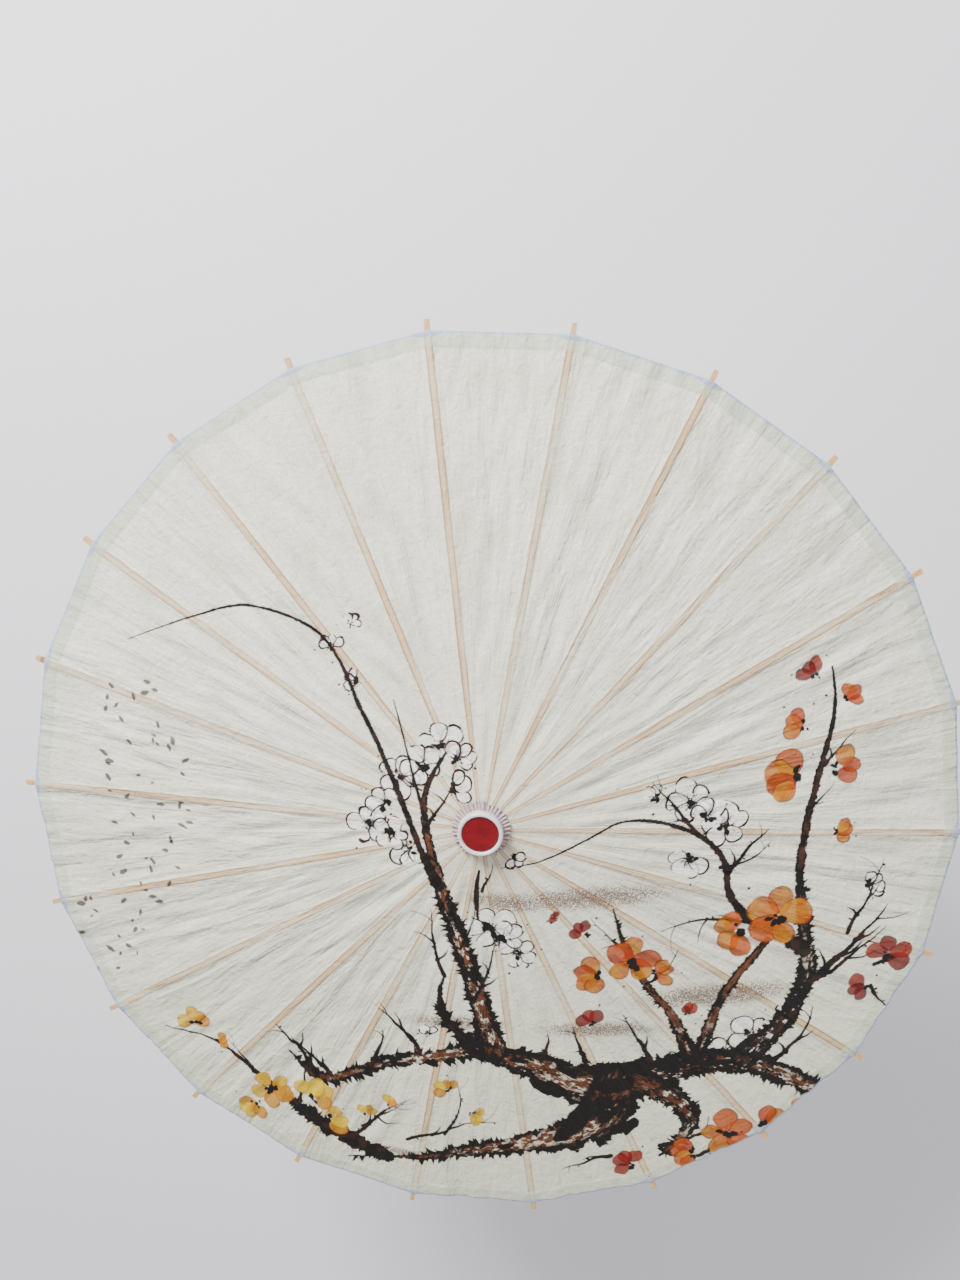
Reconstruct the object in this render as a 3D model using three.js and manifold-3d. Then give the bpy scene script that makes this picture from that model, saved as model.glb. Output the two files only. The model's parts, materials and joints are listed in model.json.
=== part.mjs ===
// An oil paper umbrella, standing open on its handle end, in millimetres with +Z up the shaft.
// The origin is the centre of the flat face under the handle. Rib 1 lies along +X, and the
// others follow counter-clockwise. Every rib swings on the hub thread, carries a strut that
// swings on the joint thread, and all the struts meet the runner that slides on the shaft.
// A strut is as long as the stretch of rib above it and both pivot circles have one radius, so
// the runner stays exactly on the shaft at every fold angle.
import * as THREE from "three";
import { mergeVertices } from "three/addons/utils/BufferGeometryUtils.js";
import Module from "manifold-3d";

const wasm = await Module();
wasm.setup();

// Driving dimensions
const ribCount = 22;
const tipRadius = 420; // rib ends, open
const paperRadius = 411.5; // paper edge where it crosses a rib
const openSlope = THREE.MathUtils.degToRad(7); // ribs below level when open
const pivotRadius = 14; // hub thread and runner thread
const pivotHeight = 530; // hub thread above the handle end
const strutLength = 190; // pivot to pivot, and hub pivot to joint along the rib
const rimThreadRadius = 404;

// Bamboo strips
const ribThickness = 3.5;
const ribHeadWidth = 1.8;
const strutThickness = 3.2;
const strutEndWidth = 2;
const strutWidth = 3.2;
const slotWidth = 2.6; // in hub, runner and rib, around a bamboo end
const slotFrom = strutLength - 15; // the rib's slot, measured from the hub pivot
const slotTo = strutLength + 54;

// Threads and their holes
const threadRadius = 0.4;
const threadSides = 6;
const pivotHole = 0.95;
const threadHole = 1.1;
const grooveHalf = 1.1;

// Turned wood
const flangeRadius = 17.8;
const slotRoot = 10.2;
const flangeNear = 4.6; // flange beyond the pivot, on the side away from the gap between hub and runner
const flangeFar = 6.5;
const headRadius = 17;
const headTop = 12.5; // above the hub pivot
const shaftRadius = 6.5;
const hubBore = 6.8;
const hubBoreTop = 10.5;
const runnerBore = 6.9;
const runnerFoot = 30; // runner below its own pivot

// Paper
const paperThickness = 0.4;
const gap = 0.3; // between pieces that touch
const paperHole = 18.2;

// Handle
const gripLength = 112;
const capHeight = 3.7;
const capRadius = 9.5;

// Catch under the runner
const catchHalf = 0.65; // half the plate's thickness
const catchSlotHalf = 1;
const catchPivotX = 1;
const catchHeight = 30; // shoulder above the catch's pivot
const catchReach = 10.3; // shoulder's tip from the shaft's axis
const catchPinRadius = 0.8;
const catchHole = 1.1;

const ribLength = (tipRadius - pivotRadius) / Math.cos(openSlope);
const runnerPivot = pivotHeight - 2 * strutLength * Math.sin(openSlope);
const runnerBottom = runnerPivot - runnerFoot;
const catchTop = runnerBottom - gap;
const catchPivotZ = catchTop - catchHeight;
const fullTurn = 2 * Math.PI;
const ribStep = fullTurn / ribCount;

const finish = {
  bamboo: { color: 0xd9b98a, roughness: 0.55, metalness: 0 },
  paper: { color: 0xdcdbd0, roughness: 0.7, metalness: 0 },
  wood: { color: 0xb98a58, roughness: 0.5, metalness: 0 },
  darkWood: { color: 0x6b3f22, roughness: 0.4, metalness: 0 },
  redLacquer: { color: 0xb01c1f, roughness: 0.35, metalness: 0 },
  whitePlastic: { color: 0xe9e6e8, roughness: 0.25, metalness: 0 },
  cottonThread: { color: 0xd8cfc0, roughness: 0.9, metalness: 0 },
  springSteel: { color: 0xa9abae, roughness: 0.35, metalness: 1 },
};

const umbrella = new THREE.Group();

function addPiece(name, geometry, look, parent = umbrella) {
  const mesh = new THREE.Mesh(geometry, new THREE.MeshStandardMaterial(look));
  mesh.name = name;
  parent.add(mesh);
  return mesh;
}

// manifold-3d joins and cuts; these two turn a geometry into a solid and back.
function solidOf(geometry) {
  const bare = geometry.index ? geometry.toNonIndexed() : geometry.clone();
  bare.deleteAttribute("normal");
  bare.deleteAttribute("uv");
  const merged = mergeVertices(bare, 1e-4);
  return new wasm.Manifold(
    new wasm.Mesh({
      numProp: 3,
      vertProperties: new Float32Array(merged.attributes.position.array),
      triVerts: new Uint32Array(merged.index.array),
    }),
  );
}

function geometryOf(solid) {
  const mesh = solid.getMesh();
  const geometry = new THREE.BufferGeometry();
  geometry.setAttribute("position", new THREE.BufferAttribute(mesh.vertProperties, 3));
  geometry.setIndex(new THREE.BufferAttribute(mesh.triVerts, 1));
  geometry.computeVertexNormals();
  return geometry;
}

function cut(geometry, ...tools) {
  return geometryOf(tools.reduce((solid, tool) => solid.subtract(solidOf(tool)), solidOf(geometry)));
}

function common(one, other) {
  return geometryOf(solidOf(one).intersect(solidOf(other)));
}

// A turned shape from its (radius, height) outline, with a corner at azimuth 0.
function turned(outline, sides) {
  const points = outline.map(([radius, height]) => new THREE.Vector2(radius, height));
  return new THREE.LatheGeometry(points, sides, Math.PI / 2).rotateX(Math.PI / 2);
}

// The same for a ring, whose outline runs round and closes on itself.
function ring(outline, sides) {
  return turned([...outline, outline[0]], sides);
}

function threadRing(radius, height, sides) {
  const section = [];
  for (let k = 0; k < threadSides; k++) {
    const turn = (k / threadSides) * fullTurn;
    section.push([radius + threadRadius * Math.cos(turn), height + threadRadius * Math.sin(turn)]);
  }
  return ring(section, sides);
}

// A drilled hole across a bamboo strip: a rod along Y at a distance along X.
function crossRod(radius, x, length, z = 0) {
  return new THREE.CylinderGeometry(radius, radius, length, 8).translate(x, 0, z);
}

// A strip seen from above: half widths at distances along X, mirrored, with an optional slot.
function stripPlan(stations, slot) {
  const outline = new THREE.Shape();
  stations.forEach(([x, half], k) => (k ? outline.lineTo(x, half) : outline.moveTo(x, half)));
  [...stations].reverse().forEach(([x, half]) => outline.lineTo(x, -half));
  outline.closePath();
  if (slot) {
    const [from, to] = slot;
    const end = slotWidth / 2;
    const opening = new THREE.Path();
    opening.moveTo(from + end, -end);
    opening.absarc(to - end, 0, end, -Math.PI / 2, Math.PI / 2);
    opening.absarc(from + end, 0, end, Math.PI / 2, Math.PI * 1.5);
    outline.holes.push(opening);
  }
  const options = { depth: 10, bevelEnabled: false, curveSegments: 3 };
  return new THREE.ExtrudeGeometry(outline, options).translate(0, 0, -5);
}

// The same strip from the side: rounded about its pivot at 0, and about its far end if asked.
function stripSide(thickness, length, roundFar) {
  const half = thickness / 2;
  const outline = new THREE.Shape();
  outline.absarc(0, 0, half, Math.PI / 2, Math.PI * 1.5);
  if (roundFar) outline.absarc(length, 0, half, -Math.PI / 2, Math.PI / 2);
  else outline.lineTo(length, -half).lineTo(length, half);
  outline.closePath();
  const options = { depth: 12, bevelEnabled: false, curveSegments: 4 };
  return new THREE.ExtrudeGeometry(outline, options).translate(0, 0, -6).rotateX(Math.PI / 2);
}

// Radial slots in a flange, one for each rib, open outwards and at one face.
function radialSlots(low, high) {
  const depth = flangeRadius - slotRoot + 2;
  const slots = [];
  for (let k = 0; k < ribCount; k++) {
    const box = new THREE.BoxGeometry(depth, slotWidth - 0.2, high - low);
    slots.push(box.translate(slotRoot + depth / 2, 0, (low + high) / 2).rotateZ(k * ribStep));
  }
  return slots;
}

// The groove that holds a thread ring in a flange.
function threadGroove(height) {
  const root = pivotRadius - 1;
  const past = flangeRadius + 1;
  return ring(
    [
      [root, height - grooveHalf],
      [past, height - grooveHalf],
      [past, height + grooveHalf],
      [root, height + grooveHalf],
    ],
    ribCount,
  );
}

function makeRib() {
  const head = ribHeadWidth / 2;
  const plan = stripPlan(
    [
      [-3, head],
      [7, head],
      [19, 1.5],
      [60, 1.75],
      [slotFrom - 8, 2.3],
      [slotTo + 8, 2.4],
      [ribLength - 22, 2.4],
      [ribLength + 3, 2.1],
    ],
    [slotFrom, slotTo],
  );
  const rimHole = (rimThreadRadius - pivotRadius) / Math.cos(openSlope);
  return cut(
    common(plan, stripSide(ribThickness, ribLength, false)),
    crossRod(pivotHole, 0, 8),
    crossRod(threadHole, strutLength, 8),
    crossRod(threadHole, rimHole, 8),
  );
}

function makeStrut() {
  const inner = ribHeadWidth / 2;
  const outer = strutEndWidth / 2;
  const plan = stripPlan([
    [-3, inner],
    [7, inner],
    [17, strutWidth / 2],
    [strutLength - 60, strutWidth / 2],
    [strutLength - 52, outer],
    [strutLength + 3, outer],
  ]);
  return cut(
    common(plan, stripSide(strutThickness, strutLength, true)),
    crossRod(pivotHole, 0, 8),
    crossRod(pivotHole, strutLength, 8),
  );
}

function makeHub() {
  const low = -flangeFar;
  const body = turned(
    [
      [0, low],
      [flangeRadius - 0.6, low],
      [flangeRadius, low + 0.6],
      [flangeRadius, flangeNear],
      [headRadius, flangeNear],
      [headRadius, headTop],
      [0, headTop],
    ],
    ribCount * 2,
  );
  const boreLength = hubBoreTop - low + 2;
  const bore = turned(
    [
      [0, hubBoreTop - boreLength],
      [hubBore, hubBoreTop - boreLength],
      [hubBore, hubBoreTop],
      [0, hubBoreTop],
    ],
    32,
  );
  const slots = radialSlots(low - 1, flangeNear - 0.3);
  return cut(body, bore, threadGroove(0), crossRod(1.5, 0, 50, 7.6), ...slots);
}

function makeRunner() {
  const foot = -runnerFoot;
  const body = ring(
    [
      [runnerBore, foot],
      [11.2, foot],
      [12.4, foot + 1.5],
      [13.6, foot + 8],
      [13.6, foot + 16],
      [12, foot + 22],
      [12, -flangeNear - 1],
      [flangeRadius - 1, -flangeNear],
      [flangeRadius, -flangeNear + 1],
      [flangeRadius, flangeFar - 0.6],
      [flangeRadius - 0.6, flangeFar],
      [runnerBore, flangeFar],
    ],
    ribCount * 2,
  );
  return cut(body, threadGroove(0), ...radialSlots(-flangeNear + 0.3, flangeFar + 1));
}

function makeShaft() {
  const bottom = capHeight + gap;
  const top = pivotHeight + hubBoreTop - gap;
  const body = turned(
    [
      [0, bottom],
      [shaftRadius, bottom],
      [shaftRadius, top],
      [0, top],
    ],
    32,
  );
  const slotLow = catchPivotZ - 5;
  const slotHigh = catchTop + 1;
  const slotBack = -3.8;
  const slotFront = 8;
  const slot = new THREE.BoxGeometry(slotFront - slotBack, 2 * catchSlotHalf, slotHigh - slotLow);
  slot.translate((slotFront + slotBack) / 2, 0, (slotHigh + slotLow) / 2);
  const pinHole = crossRod(1.5, 0, 50, pivotHeight + 7.6);
  return cut(body, slot, pinHole, crossRod(catchHole, catchPivotX, 20, catchPivotZ));
}

// A flat spring plate: pivot end low in the shaft, square shoulder under the runner.
function makeCatch() {
  const plate = new THREE.Shape();
  plate.moveTo(-1.6, -2.6);
  plate.lineTo(3.6, -2.6);
  plate.lineTo(5.6, 2);
  plate.lineTo(catchReach, catchHeight - 4);
  plate.lineTo(catchReach, catchHeight);
  plate.lineTo(1.6, catchHeight);
  plate.lineTo(-1.6, 6);
  plate.closePath();
  const hole = new THREE.Path();
  hole.absarc(catchPivotX, 0, catchHole, 0, fullTurn);
  plate.holes.push(hole);
  const options = { depth: 2 * catchHalf, bevelEnabled: false, curveSegments: 5 };
  return new THREE.ExtrudeGeometry(plate, options)
    .translate(0, 0, -catchHalf)
    .rotateX(Math.PI / 2);
}

// The paper lies on the ribs: its underside is this far above the line through the rib pivots.
function paperLine(radius, offset) {
  return pivotHeight + (pivotRadius - radius) * Math.tan(openSlope) + offset / Math.cos(openSlope);
}

function makeCanopy() {
  const under = ribThickness / 2 + gap;
  const over = under + paperThickness;
  return ring(
    [
      [paperHole, paperLine(paperHole, under)],
      [paperRadius, paperLine(paperRadius, under)],
      [paperRadius, paperLine(paperRadius, over)],
      [paperHole, paperLine(paperHole, over)],
    ],
    ribCount,
  );
}

// The gathered neck of the paper: a short sleeve on the hub with a flared, pleated foot.
function makeCollar() {
  return ring(
    [
      [18.15, 3.4],
      [20.5, 2.35],
      [24.7, 1.75],
      [24.7, 2.45],
      [21, 3.2],
      [19.1, 4.4],
      [19.1, 5.7],
      [18.15, 5.7],
    ],
    ribCount * 2,
  );
}

// The white ring on the hub's head, with a shallow recess for the red disc.
function makeHeadRing() {
  return ring(
    [
      [17.3, 6],
      [18.9, 6],
      [19.3, 6.4],
      [19.3, 14.2],
      [18.5, 15],
      [16.4, 15],
      [15.6, 14.4],
      [15.6, headTop + gap],
      [17.3, headTop + gap],
    ],
    48,
  );
}

function makeHeadDisc() {
  const bottom = headTop + gap;
  const top = bottom + 1.1;
  return turned(
    [
      [0, bottom],
      [15.3, bottom],
      [15.3, top - 0.3],
      [15, top],
      [0, top],
    ],
    48,
  );
}

function makeGrip() {
  const bottom = capHeight + gap;
  const bore = shaftRadius + gap;
  return ring(
    [
      [bore, bottom],
      [9.2, bottom],
      [10.6, 16],
      [10.9, 34],
      [10.2, 62],
      [9, 88],
      [9, 98],
      [10, 102],
      [10, 107],
      [8.6, gripLength],
      [bore, gripLength],
    ],
    40,
  );
}

function makeGripCap() {
  return turned(
    [
      [0, 0],
      [capRadius - 1, 0],
      [capRadius, 1],
      [capRadius, capHeight - 0.4],
      [capRadius - 0.4, capHeight],
      [0, capHeight],
    ],
    40,
  );
}

// Ribs and struts, one group turned to each azimuth
const ribGeometry = makeRib();
const strutGeometry = makeStrut();
for (let k = 0; k < ribCount; k++) {
  const number = String(k + 1).padStart(2, "0");
  const spoke = new THREE.Group();
  spoke.rotation.z = k * ribStep;
  umbrella.add(spoke);
  const rib = addPiece("rib_" + number, ribGeometry, finish.bamboo, spoke);
  rib.position.set(pivotRadius, 0, pivotHeight);
  rib.rotation.y = openSlope;
  const strut = addPiece("strut_" + number, strutGeometry, finish.bamboo, spoke);
  strut.position.set(pivotRadius, 0, runnerPivot);
  strut.rotation.y = -openSlope;
}

// Shaft, hub and runner
addPiece("shaft", makeShaft(), finish.wood);
addPiece("hub", makeHub(), finish.wood).position.z = pivotHeight;
addPiece("runner", makeRunner(), finish.wood).position.z = runnerPivot;
addPiece("hub_pin", crossRod(1.2, 0, 33, pivotHeight + 7.6), finish.bamboo);

// Threads
const jointRadius = pivotRadius + strutLength * Math.cos(openSlope);
const jointHeight = pivotHeight - strutLength * Math.sin(openSlope);
const rimDrop = (rimThreadRadius - pivotRadius) * Math.tan(openSlope);
addPiece("hub_thread", threadRing(pivotRadius, pivotHeight, ribCount), finish.cottonThread);
addPiece("runner_thread", threadRing(pivotRadius, runnerPivot, ribCount), finish.cottonThread);
addPiece("joint_thread", threadRing(jointRadius, jointHeight, ribCount), finish.cottonThread);
addPiece("rim_thread", threadRing(rimThreadRadius, pivotHeight - rimDrop, ribCount), finish.cottonThread);

// Paper and the hub's head
addPiece("canopy_paper", makeCanopy(), finish.paper);
addPiece("paper_collar", makeCollar(), finish.paper).position.z = pivotHeight;
addPiece("head_ring", makeHeadRing(), finish.whitePlastic).position.z = pivotHeight;
addPiece("head_disc", makeHeadDisc(), finish.redLacquer).position.z = pivotHeight;

// Catch, with its pin through the shaft
addPiece("runner_catch", makeCatch(), finish.springSteel).position.z = catchPivotZ;
addPiece("catch_pin", crossRod(catchPinRadius, catchPivotX, 12, catchPivotZ), finish.springSteel);

// Handle
addPiece("grip", makeGrip(), finish.darkWood);
addPiece("grip_cap", makeGripCap(), finish.darkWood);

export default umbrella;
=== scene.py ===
import json
import math

import bmesh
import bpy
import numpy as np
from mathutils import Matrix, Vector

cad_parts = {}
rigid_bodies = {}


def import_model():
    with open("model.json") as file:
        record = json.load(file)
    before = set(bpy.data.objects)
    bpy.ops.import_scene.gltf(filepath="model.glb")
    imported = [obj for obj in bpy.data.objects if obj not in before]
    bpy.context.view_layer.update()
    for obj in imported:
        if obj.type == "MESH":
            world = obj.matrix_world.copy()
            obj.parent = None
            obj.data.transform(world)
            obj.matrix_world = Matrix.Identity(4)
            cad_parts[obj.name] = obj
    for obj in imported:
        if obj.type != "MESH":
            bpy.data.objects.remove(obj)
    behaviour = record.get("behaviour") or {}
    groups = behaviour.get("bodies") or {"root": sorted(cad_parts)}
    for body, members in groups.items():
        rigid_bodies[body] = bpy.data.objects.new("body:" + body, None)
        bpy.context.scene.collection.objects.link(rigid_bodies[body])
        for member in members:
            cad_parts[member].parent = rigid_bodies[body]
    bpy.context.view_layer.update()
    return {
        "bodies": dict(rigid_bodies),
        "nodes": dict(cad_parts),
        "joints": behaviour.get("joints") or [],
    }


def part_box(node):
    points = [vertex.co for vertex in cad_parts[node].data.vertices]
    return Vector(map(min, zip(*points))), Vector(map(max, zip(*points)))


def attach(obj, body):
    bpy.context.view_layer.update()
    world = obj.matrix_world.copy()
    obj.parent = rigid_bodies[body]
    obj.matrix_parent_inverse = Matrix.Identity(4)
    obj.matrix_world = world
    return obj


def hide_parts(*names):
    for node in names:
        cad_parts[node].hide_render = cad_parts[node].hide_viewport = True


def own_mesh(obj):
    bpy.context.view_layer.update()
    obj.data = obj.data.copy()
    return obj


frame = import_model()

# An oil paper umbrella: painted paper on bamboo ribs, a gathered neck, a white head ring with a
# red disc, and a turned shaft, runner and grip. Metres, +Z up the shaft, rib_01 along +X.
mm = 0.001
jointOf = {joint["name"]: joint for joint in frame["joints"]}
pivotRadius, _, pivotHeight = jointOf["fold"]["pos_m"]
strutPivot = jointOf["strut_01_swing"]["pos_m"]
openSlope = math.atan2(pivotHeight - strutPivot[2], strutPivot[0] - pivotRadius)
ribBodies = sorted(body for body in frame["bodies"] if body.startswith("rib_"))
ribCount = len(ribBodies)
ribStep = 2 * math.pi / ribCount
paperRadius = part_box("canopy_paper")[1].x
ribThickness = 3.5 * mm
crispAngle = math.radians(50)  # edges sharper than this stay crisp


def linear(hexColour):
    values = [int(hexColour[i : i + 2], 16) / 255 for i in (1, 3, 5)]
    return [v / 12.92 if v <= 0.04045 else ((v + 0.055) / 1.055) ** 2.4 for v in values]


def rgba(hexColour):
    return (*linear(hexColour), 1)


def addNode(material, kind, settings, links):
    tree = material.node_tree
    node = tree.nodes.new("ShaderNode" + kind)
    for key, value in settings.items():
        if key == "stops":  # a colour ramp's places and colours
            ramp = node.color_ramp.elements
            while len(ramp) < len(value):
                ramp.new(1)
            for element, (place, colour) in zip(ramp, value):
                element.position = place
                element.color = rgba(colour)
        elif isinstance(key, str) and hasattr(node, key):
            setattr(node, key, value)
        else:
            node.inputs[key].default_value = value
    for key, source in links.items():
        tree.links.new(source, node.inputs[key])
    return node


def newFinish(name, settings):
    material = bpy.data.materials.new(name)
    material.use_nodes = True
    shader = material.node_tree.nodes["Principled BSDF"]
    for key, value in settings.items():
        shader.inputs[key].default_value = value
    return material, shader


def smoothStep(low, high, value):
    t = np.clip((value - low) / (high - low), 0, 1)
    return t * t * (3 - 2 * t)


# Camera, floor and light
camera = {
    "eye": (0.0506, 0.3772, 1.4045),
    "forward": (-0.0625, -0.2363, -0.9697),
    "up": (-0.0440, 0.9713, -0.2339),
    "lens": 31.2,
}
forward = Vector(camera["forward"]).normalized()
side = forward.cross(Vector(camera["up"])).normalized()
above = side.cross(forward)
cameraData = bpy.data.cameras.new("viewCamera")
cameraData.lens = camera["lens"]
viewCamera = bpy.data.objects.new("viewCamera", cameraData)
bpy.context.scene.collection.objects.link(viewCamera)
turnMatrix = Matrix((side, above, -forward)).transposed().to_4x4()
viewCamera.matrix_world = Matrix.Translation(camera["eye"]) @ turnMatrix
bpy.context.scene.camera = viewCamera

studio = {
    "skyColour": "#f2f2f1", "skyStrength": 0.78,
    "keyPower": 212, "keySize": 1.0, "keyPlace": (-1.1, 2.1, 1.9),
    "fillPower": 10, "fillSize": 1.8, "fillPlace": (1.5, -1.0, 1.5),
    "floorColour": "#e2e1e8", "floorSize": 60,
}
world = bpy.data.worlds.new("studioSky")
world.use_nodes = True
world.node_tree.nodes["Background"].inputs["Color"].default_value = rgba(studio["skyColour"])
world.node_tree.nodes["Background"].inputs["Strength"].default_value = studio["skyStrength"]
bpy.context.scene.world = world
for name in ("key", "fill"):
    lamp = bpy.data.lights.new(name + "Light", "AREA")
    lamp.energy = studio[name + "Power"]
    lamp.size = studio[name + "Size"]
    lampObject = bpy.data.objects.new(name + "Light", lamp)
    bpy.context.scene.collection.objects.link(lampObject)
    place = Vector(studio[name + "Place"])
    lampObject.location = place
    lampObject.rotation_euler = (Vector((0, 0, 0.5)) - place).to_track_quat("-Z", "Y").to_euler()

floorFinish, floorShader = newFinish("mattStudioFloor", {"Roughness": 0.9})
floorShader.inputs["Base Color"].default_value = rgba(studio["floorColour"])
bpy.ops.mesh.primitive_plane_add(size=studio["floorSize"], location=(0, 0, -0.5 * mm))
floor = bpy.context.object
floor.name = "studioFloor"
floor.data.materials.append(floorFinish)
print("camera, light and floor are set")


# The painting, laid out in millimetres on the plan of the paper: +X right, +Y up, hub at 0, 0.
# It is a blossom branch, kept as a list of brush marks in painting order.
inks = {
    "ink": "#171413", "brownInk": "#38231b", "rust": "#543120", "chalk": "#eeedea",
    "orange": "#a0470c", "amber": "#a87518", "vermilion": "#88240c", "crimson": "#640a0c",
    "yellow": "#c4a81b", "line": "#2a1914", "redLine": "#611509",
}
inkTones = {name: np.array(linear(value)) for name, value in inks.items()}
brush = np.random.default_rng(22)
marks = []


def latticeNoise(x, y, size, seed):
    gx, gy = x / size, y / size
    ix, iy = np.floor(gx).astype(np.int64), np.floor(gy).astype(np.int64)
    fx, fy = smoothStep(0, 1, gx - ix), smoothStep(0, 1, gy - iy)

    def corner(cx, cy):
        mixed = (cx * 374761393 + cy * 668265263 + seed * 982451653) & 0x7FFFFFFF
        mixed = ((mixed ^ (mixed >> 13)) * 1274126177) & 0x7FFFFFFF
        return ((mixed ^ (mixed >> 16)) & 0xFFFF) / 0xFFFF

    low = corner(ix, iy) * (1 - fx) + corner(ix + 1, iy) * fx
    high = corner(ix, iy + 1) * (1 - fx) + corner(ix + 1, iy + 1) * fx
    return low * (1 - fy) + high * fy


def smoothPath(points, spacing=5):
    knots = np.array([points[0], *points, points[-1]], float)
    path = []
    for a, b, c, d in zip(knots, knots[1:], knots[2:], knots[3:]):
        count = max(2, int(math.hypot(*(c - b)[:2]) / spacing))
        for t in np.arange(count) / count:
            path.append(0.5 * (2 * b + (c - a) * t + (2 * a - 5 * b + 4 * c - d) * t**2
                               + (3 * b - a - 3 * c + d) * t**3))
    path.append(knots[-1])
    return np.array(path)


def addStroke(points, look="twig", colour="ink", rag=0.5):
    path = smoothPath(points)
    reach = path[:, 2].max() * 1.6 + 2
    marks.append({"form": "stroke", "path": path, "look": look, "colour": colour, "rag": rag,
                  "low": path[:, :2].min(0) - reach, "high": path[:, :2].max(0) + reach})
    return path


def stepFrom(x, y, turn, reach):
    return x + math.cos(turn) * reach, y + math.sin(turn) * reach


def addSpot(form, x, y, length, width, turn, **more):
    reach = max(length, width) + 2
    marks.append({"form": form, "centre": (x, y), "length": length, "width": width, "turn": turn,
                  "low": np.array([x - reach, y - reach]), "high": np.array([x + reach, y + reach]),
                  **more})


def mossSpikes(path, count, size, low=0.02, high=0.98):
    # clusters of short pointed spikes that stand out from both sides of a limb
    for place in brush.uniform(low, high, count):
        edge = brush.choice((-1, 1))
        for _ in range(brush.integers(1, 5)):
            at = min(max(place + brush.uniform(-0.014, 0.014), 0), 0.999) * (len(path) - 1)
            a, b = path[int(at)], path[min(int(at) + 1, len(path) - 1)]
            turn = math.atan2(b[1] - a[1], b[0] - a[0]) + edge * brush.uniform(0.75, 1.75)
            out = a[2] * 0.7
            length = size * brush.uniform(0.4, 1.15)
            reach = out + length * 0.4
            addSpot("spike", *stepFrom(a[0], a[1], turn, reach), length,
                    length * brush.uniform(0.4, 0.85), turn, colour="ink")


def twig(x, y, turn, length, radius, spurs=3, bend=0.0):
    points = [(x, y, radius)]
    steps = 6
    for k in range(steps):
        turn += bend / steps + brush.uniform(-0.26, 0.26)
        x += math.cos(turn) * length / steps
        y += math.sin(turn) * length / steps
        points.append((x, y, max(0.35, radius * (1 - 0.85 * (k + 1) / steps))))
    path = addStroke(points, rag=0.6)
    for a in path[2::3]:  # buds sit close against the twig
        if brush.random() < 0.45:
            out = a[2] + 1
            bud = brush.uniform(1.4, 3.6)
            away = turn + brush.choice((-1, 1)) * brush.uniform(0.9, 1.7)
            addSpot("dab", *stepFrom(a[0], a[1], away, out), bud, bud * 0.7, away, colour="ink")
    for place in np.linspace(0.3, 0.85, spurs) if spurs else []:
        a = path[int(place * (len(path) - 1))]
        lean = turn + brush.choice((-1, 1)) * brush.uniform(0.5, 1.1)
        reach = length * brush.uniform(0.14, 0.32)
        addSpot("dab", a[0], a[1], a[2] * 3.4, a[2] * 2.4, lean, colour="ink")
        addStroke([(a[0], a[1], a[2] * 0.8), (*stepFrom(a[0], a[1], lean, reach * 0.5), a[2] * 0.55),
                   (*stepFrom(a[0], a[1], lean + 0.2, reach), 0.3)])
    return path


# Petal colours by blossom, as sets of base, tip and outline
petalTones = {
    "white": [("chalk", "chalk", "line")],
    "orange": [("vermilion", "orange", "redLine"), ("orange", "amber", "redLine"),
               ("amber", "orange", "redLine"), ("orange", "orange", "redLine")],
    "red": [("crimson", "vermilion", "crimson"), ("crimson", "crimson", "line")],
    "yellow": [("yellow", "yellow", "amber"), ("amber", "yellow", "amber"), ("amber", "amber", "orange")],
}


def blossom(x, y, size, turn, hue, petals=5, spread=2 * math.pi):
    # broad petals fan out from a centre; a full turn is a flower seen from the front
    for k in range(petals):
        lean = turn + spread * (k / petals if spread > 6 else k / max(1, petals - 1) - 0.5)
        lean += brush.uniform(-0.18, 0.18)
        length = size * brush.uniform(1.0, 1.32)
        away = size * brush.uniform(0.6, 0.76)
        base, tip, edge = petalTones[hue][brush.integers(len(petalTones[hue]))]
        addSpot("petal", *stepFrom(x, y, lean, away), length, length * brush.uniform(0.84, 1.04),
                lean + brush.uniform(-0.2, 0.2), colour=base, tip=tip, edge=edge,
                solid=0.5 if hue == "white" else 0.93, point=0.0 if hue == "white" else brush.uniform(0, 0.3))
    if hue == "white":  # stamens
        for _ in range(int(size)):
            lean = brush.uniform(0, 2 * math.pi)
            reach = size * brush.uniform(0.2, 0.5)
            addSpot("dab", *stepFrom(x, y, lean, reach), brush.uniform(1.6, 4), 0.9, lean, colour="line")
    for _ in range(5 if size > 9 else 3):  # dark sepals and the heart
        lean = turn + math.pi + brush.uniform(-1.9, 1.9)
        reach = size * brush.uniform(0.05, 0.42)
        dab = size * brush.uniform(0.2, 0.42) * (1.3 if hue == "white" else 1)
        addSpot("dab", *stepFrom(x, y, lean, reach), dab, dab * brush.uniform(0.55, 0.9),
                lean + brush.uniform(-0.5, 0.5), colour="ink")
    for _ in range(2):  # a spatter of ink
        lean = brush.uniform(0, 2 * math.pi)
        reach = size * brush.uniform(1.2, 1.8)
        dab = brush.uniform(1, 2.8)
        addSpot("dab", *stepFrom(x, y, lean, reach), dab, dab * 0.8, lean, colour="ink")


def growBlossoms(flowers):
    for flower in flowers:
        blossom(*flower)


# Soft stippled mist behind the branches: place, length, width and turn of each drift
mistDrifts = (
    (95, -64, 100, 15, 0.08), (214, -160, 96, 16, 0.12), (24, -70, 46, 12, -0.1), (110, -200, 70, 11, 0.05),
    (-20, -200, 60, 10, 0.0), (-70, -356, 50, 5, -0.1),
)


def mistAt(x, y):
    thick = np.zeros(len(x))
    for middleX, middleY, length, width, turn in mistDrifts:
        dx, dy = x - middleX, y - middleY
        u, v = dx * math.cos(turn) + dy * math.sin(turn), dy * math.cos(turn) - dx * math.sin(turn)
        thick = np.maximum(thick, np.exp(-1.8 * ((u / length) ** 2 + (v / width) ** 2)))
    return thick


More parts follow.
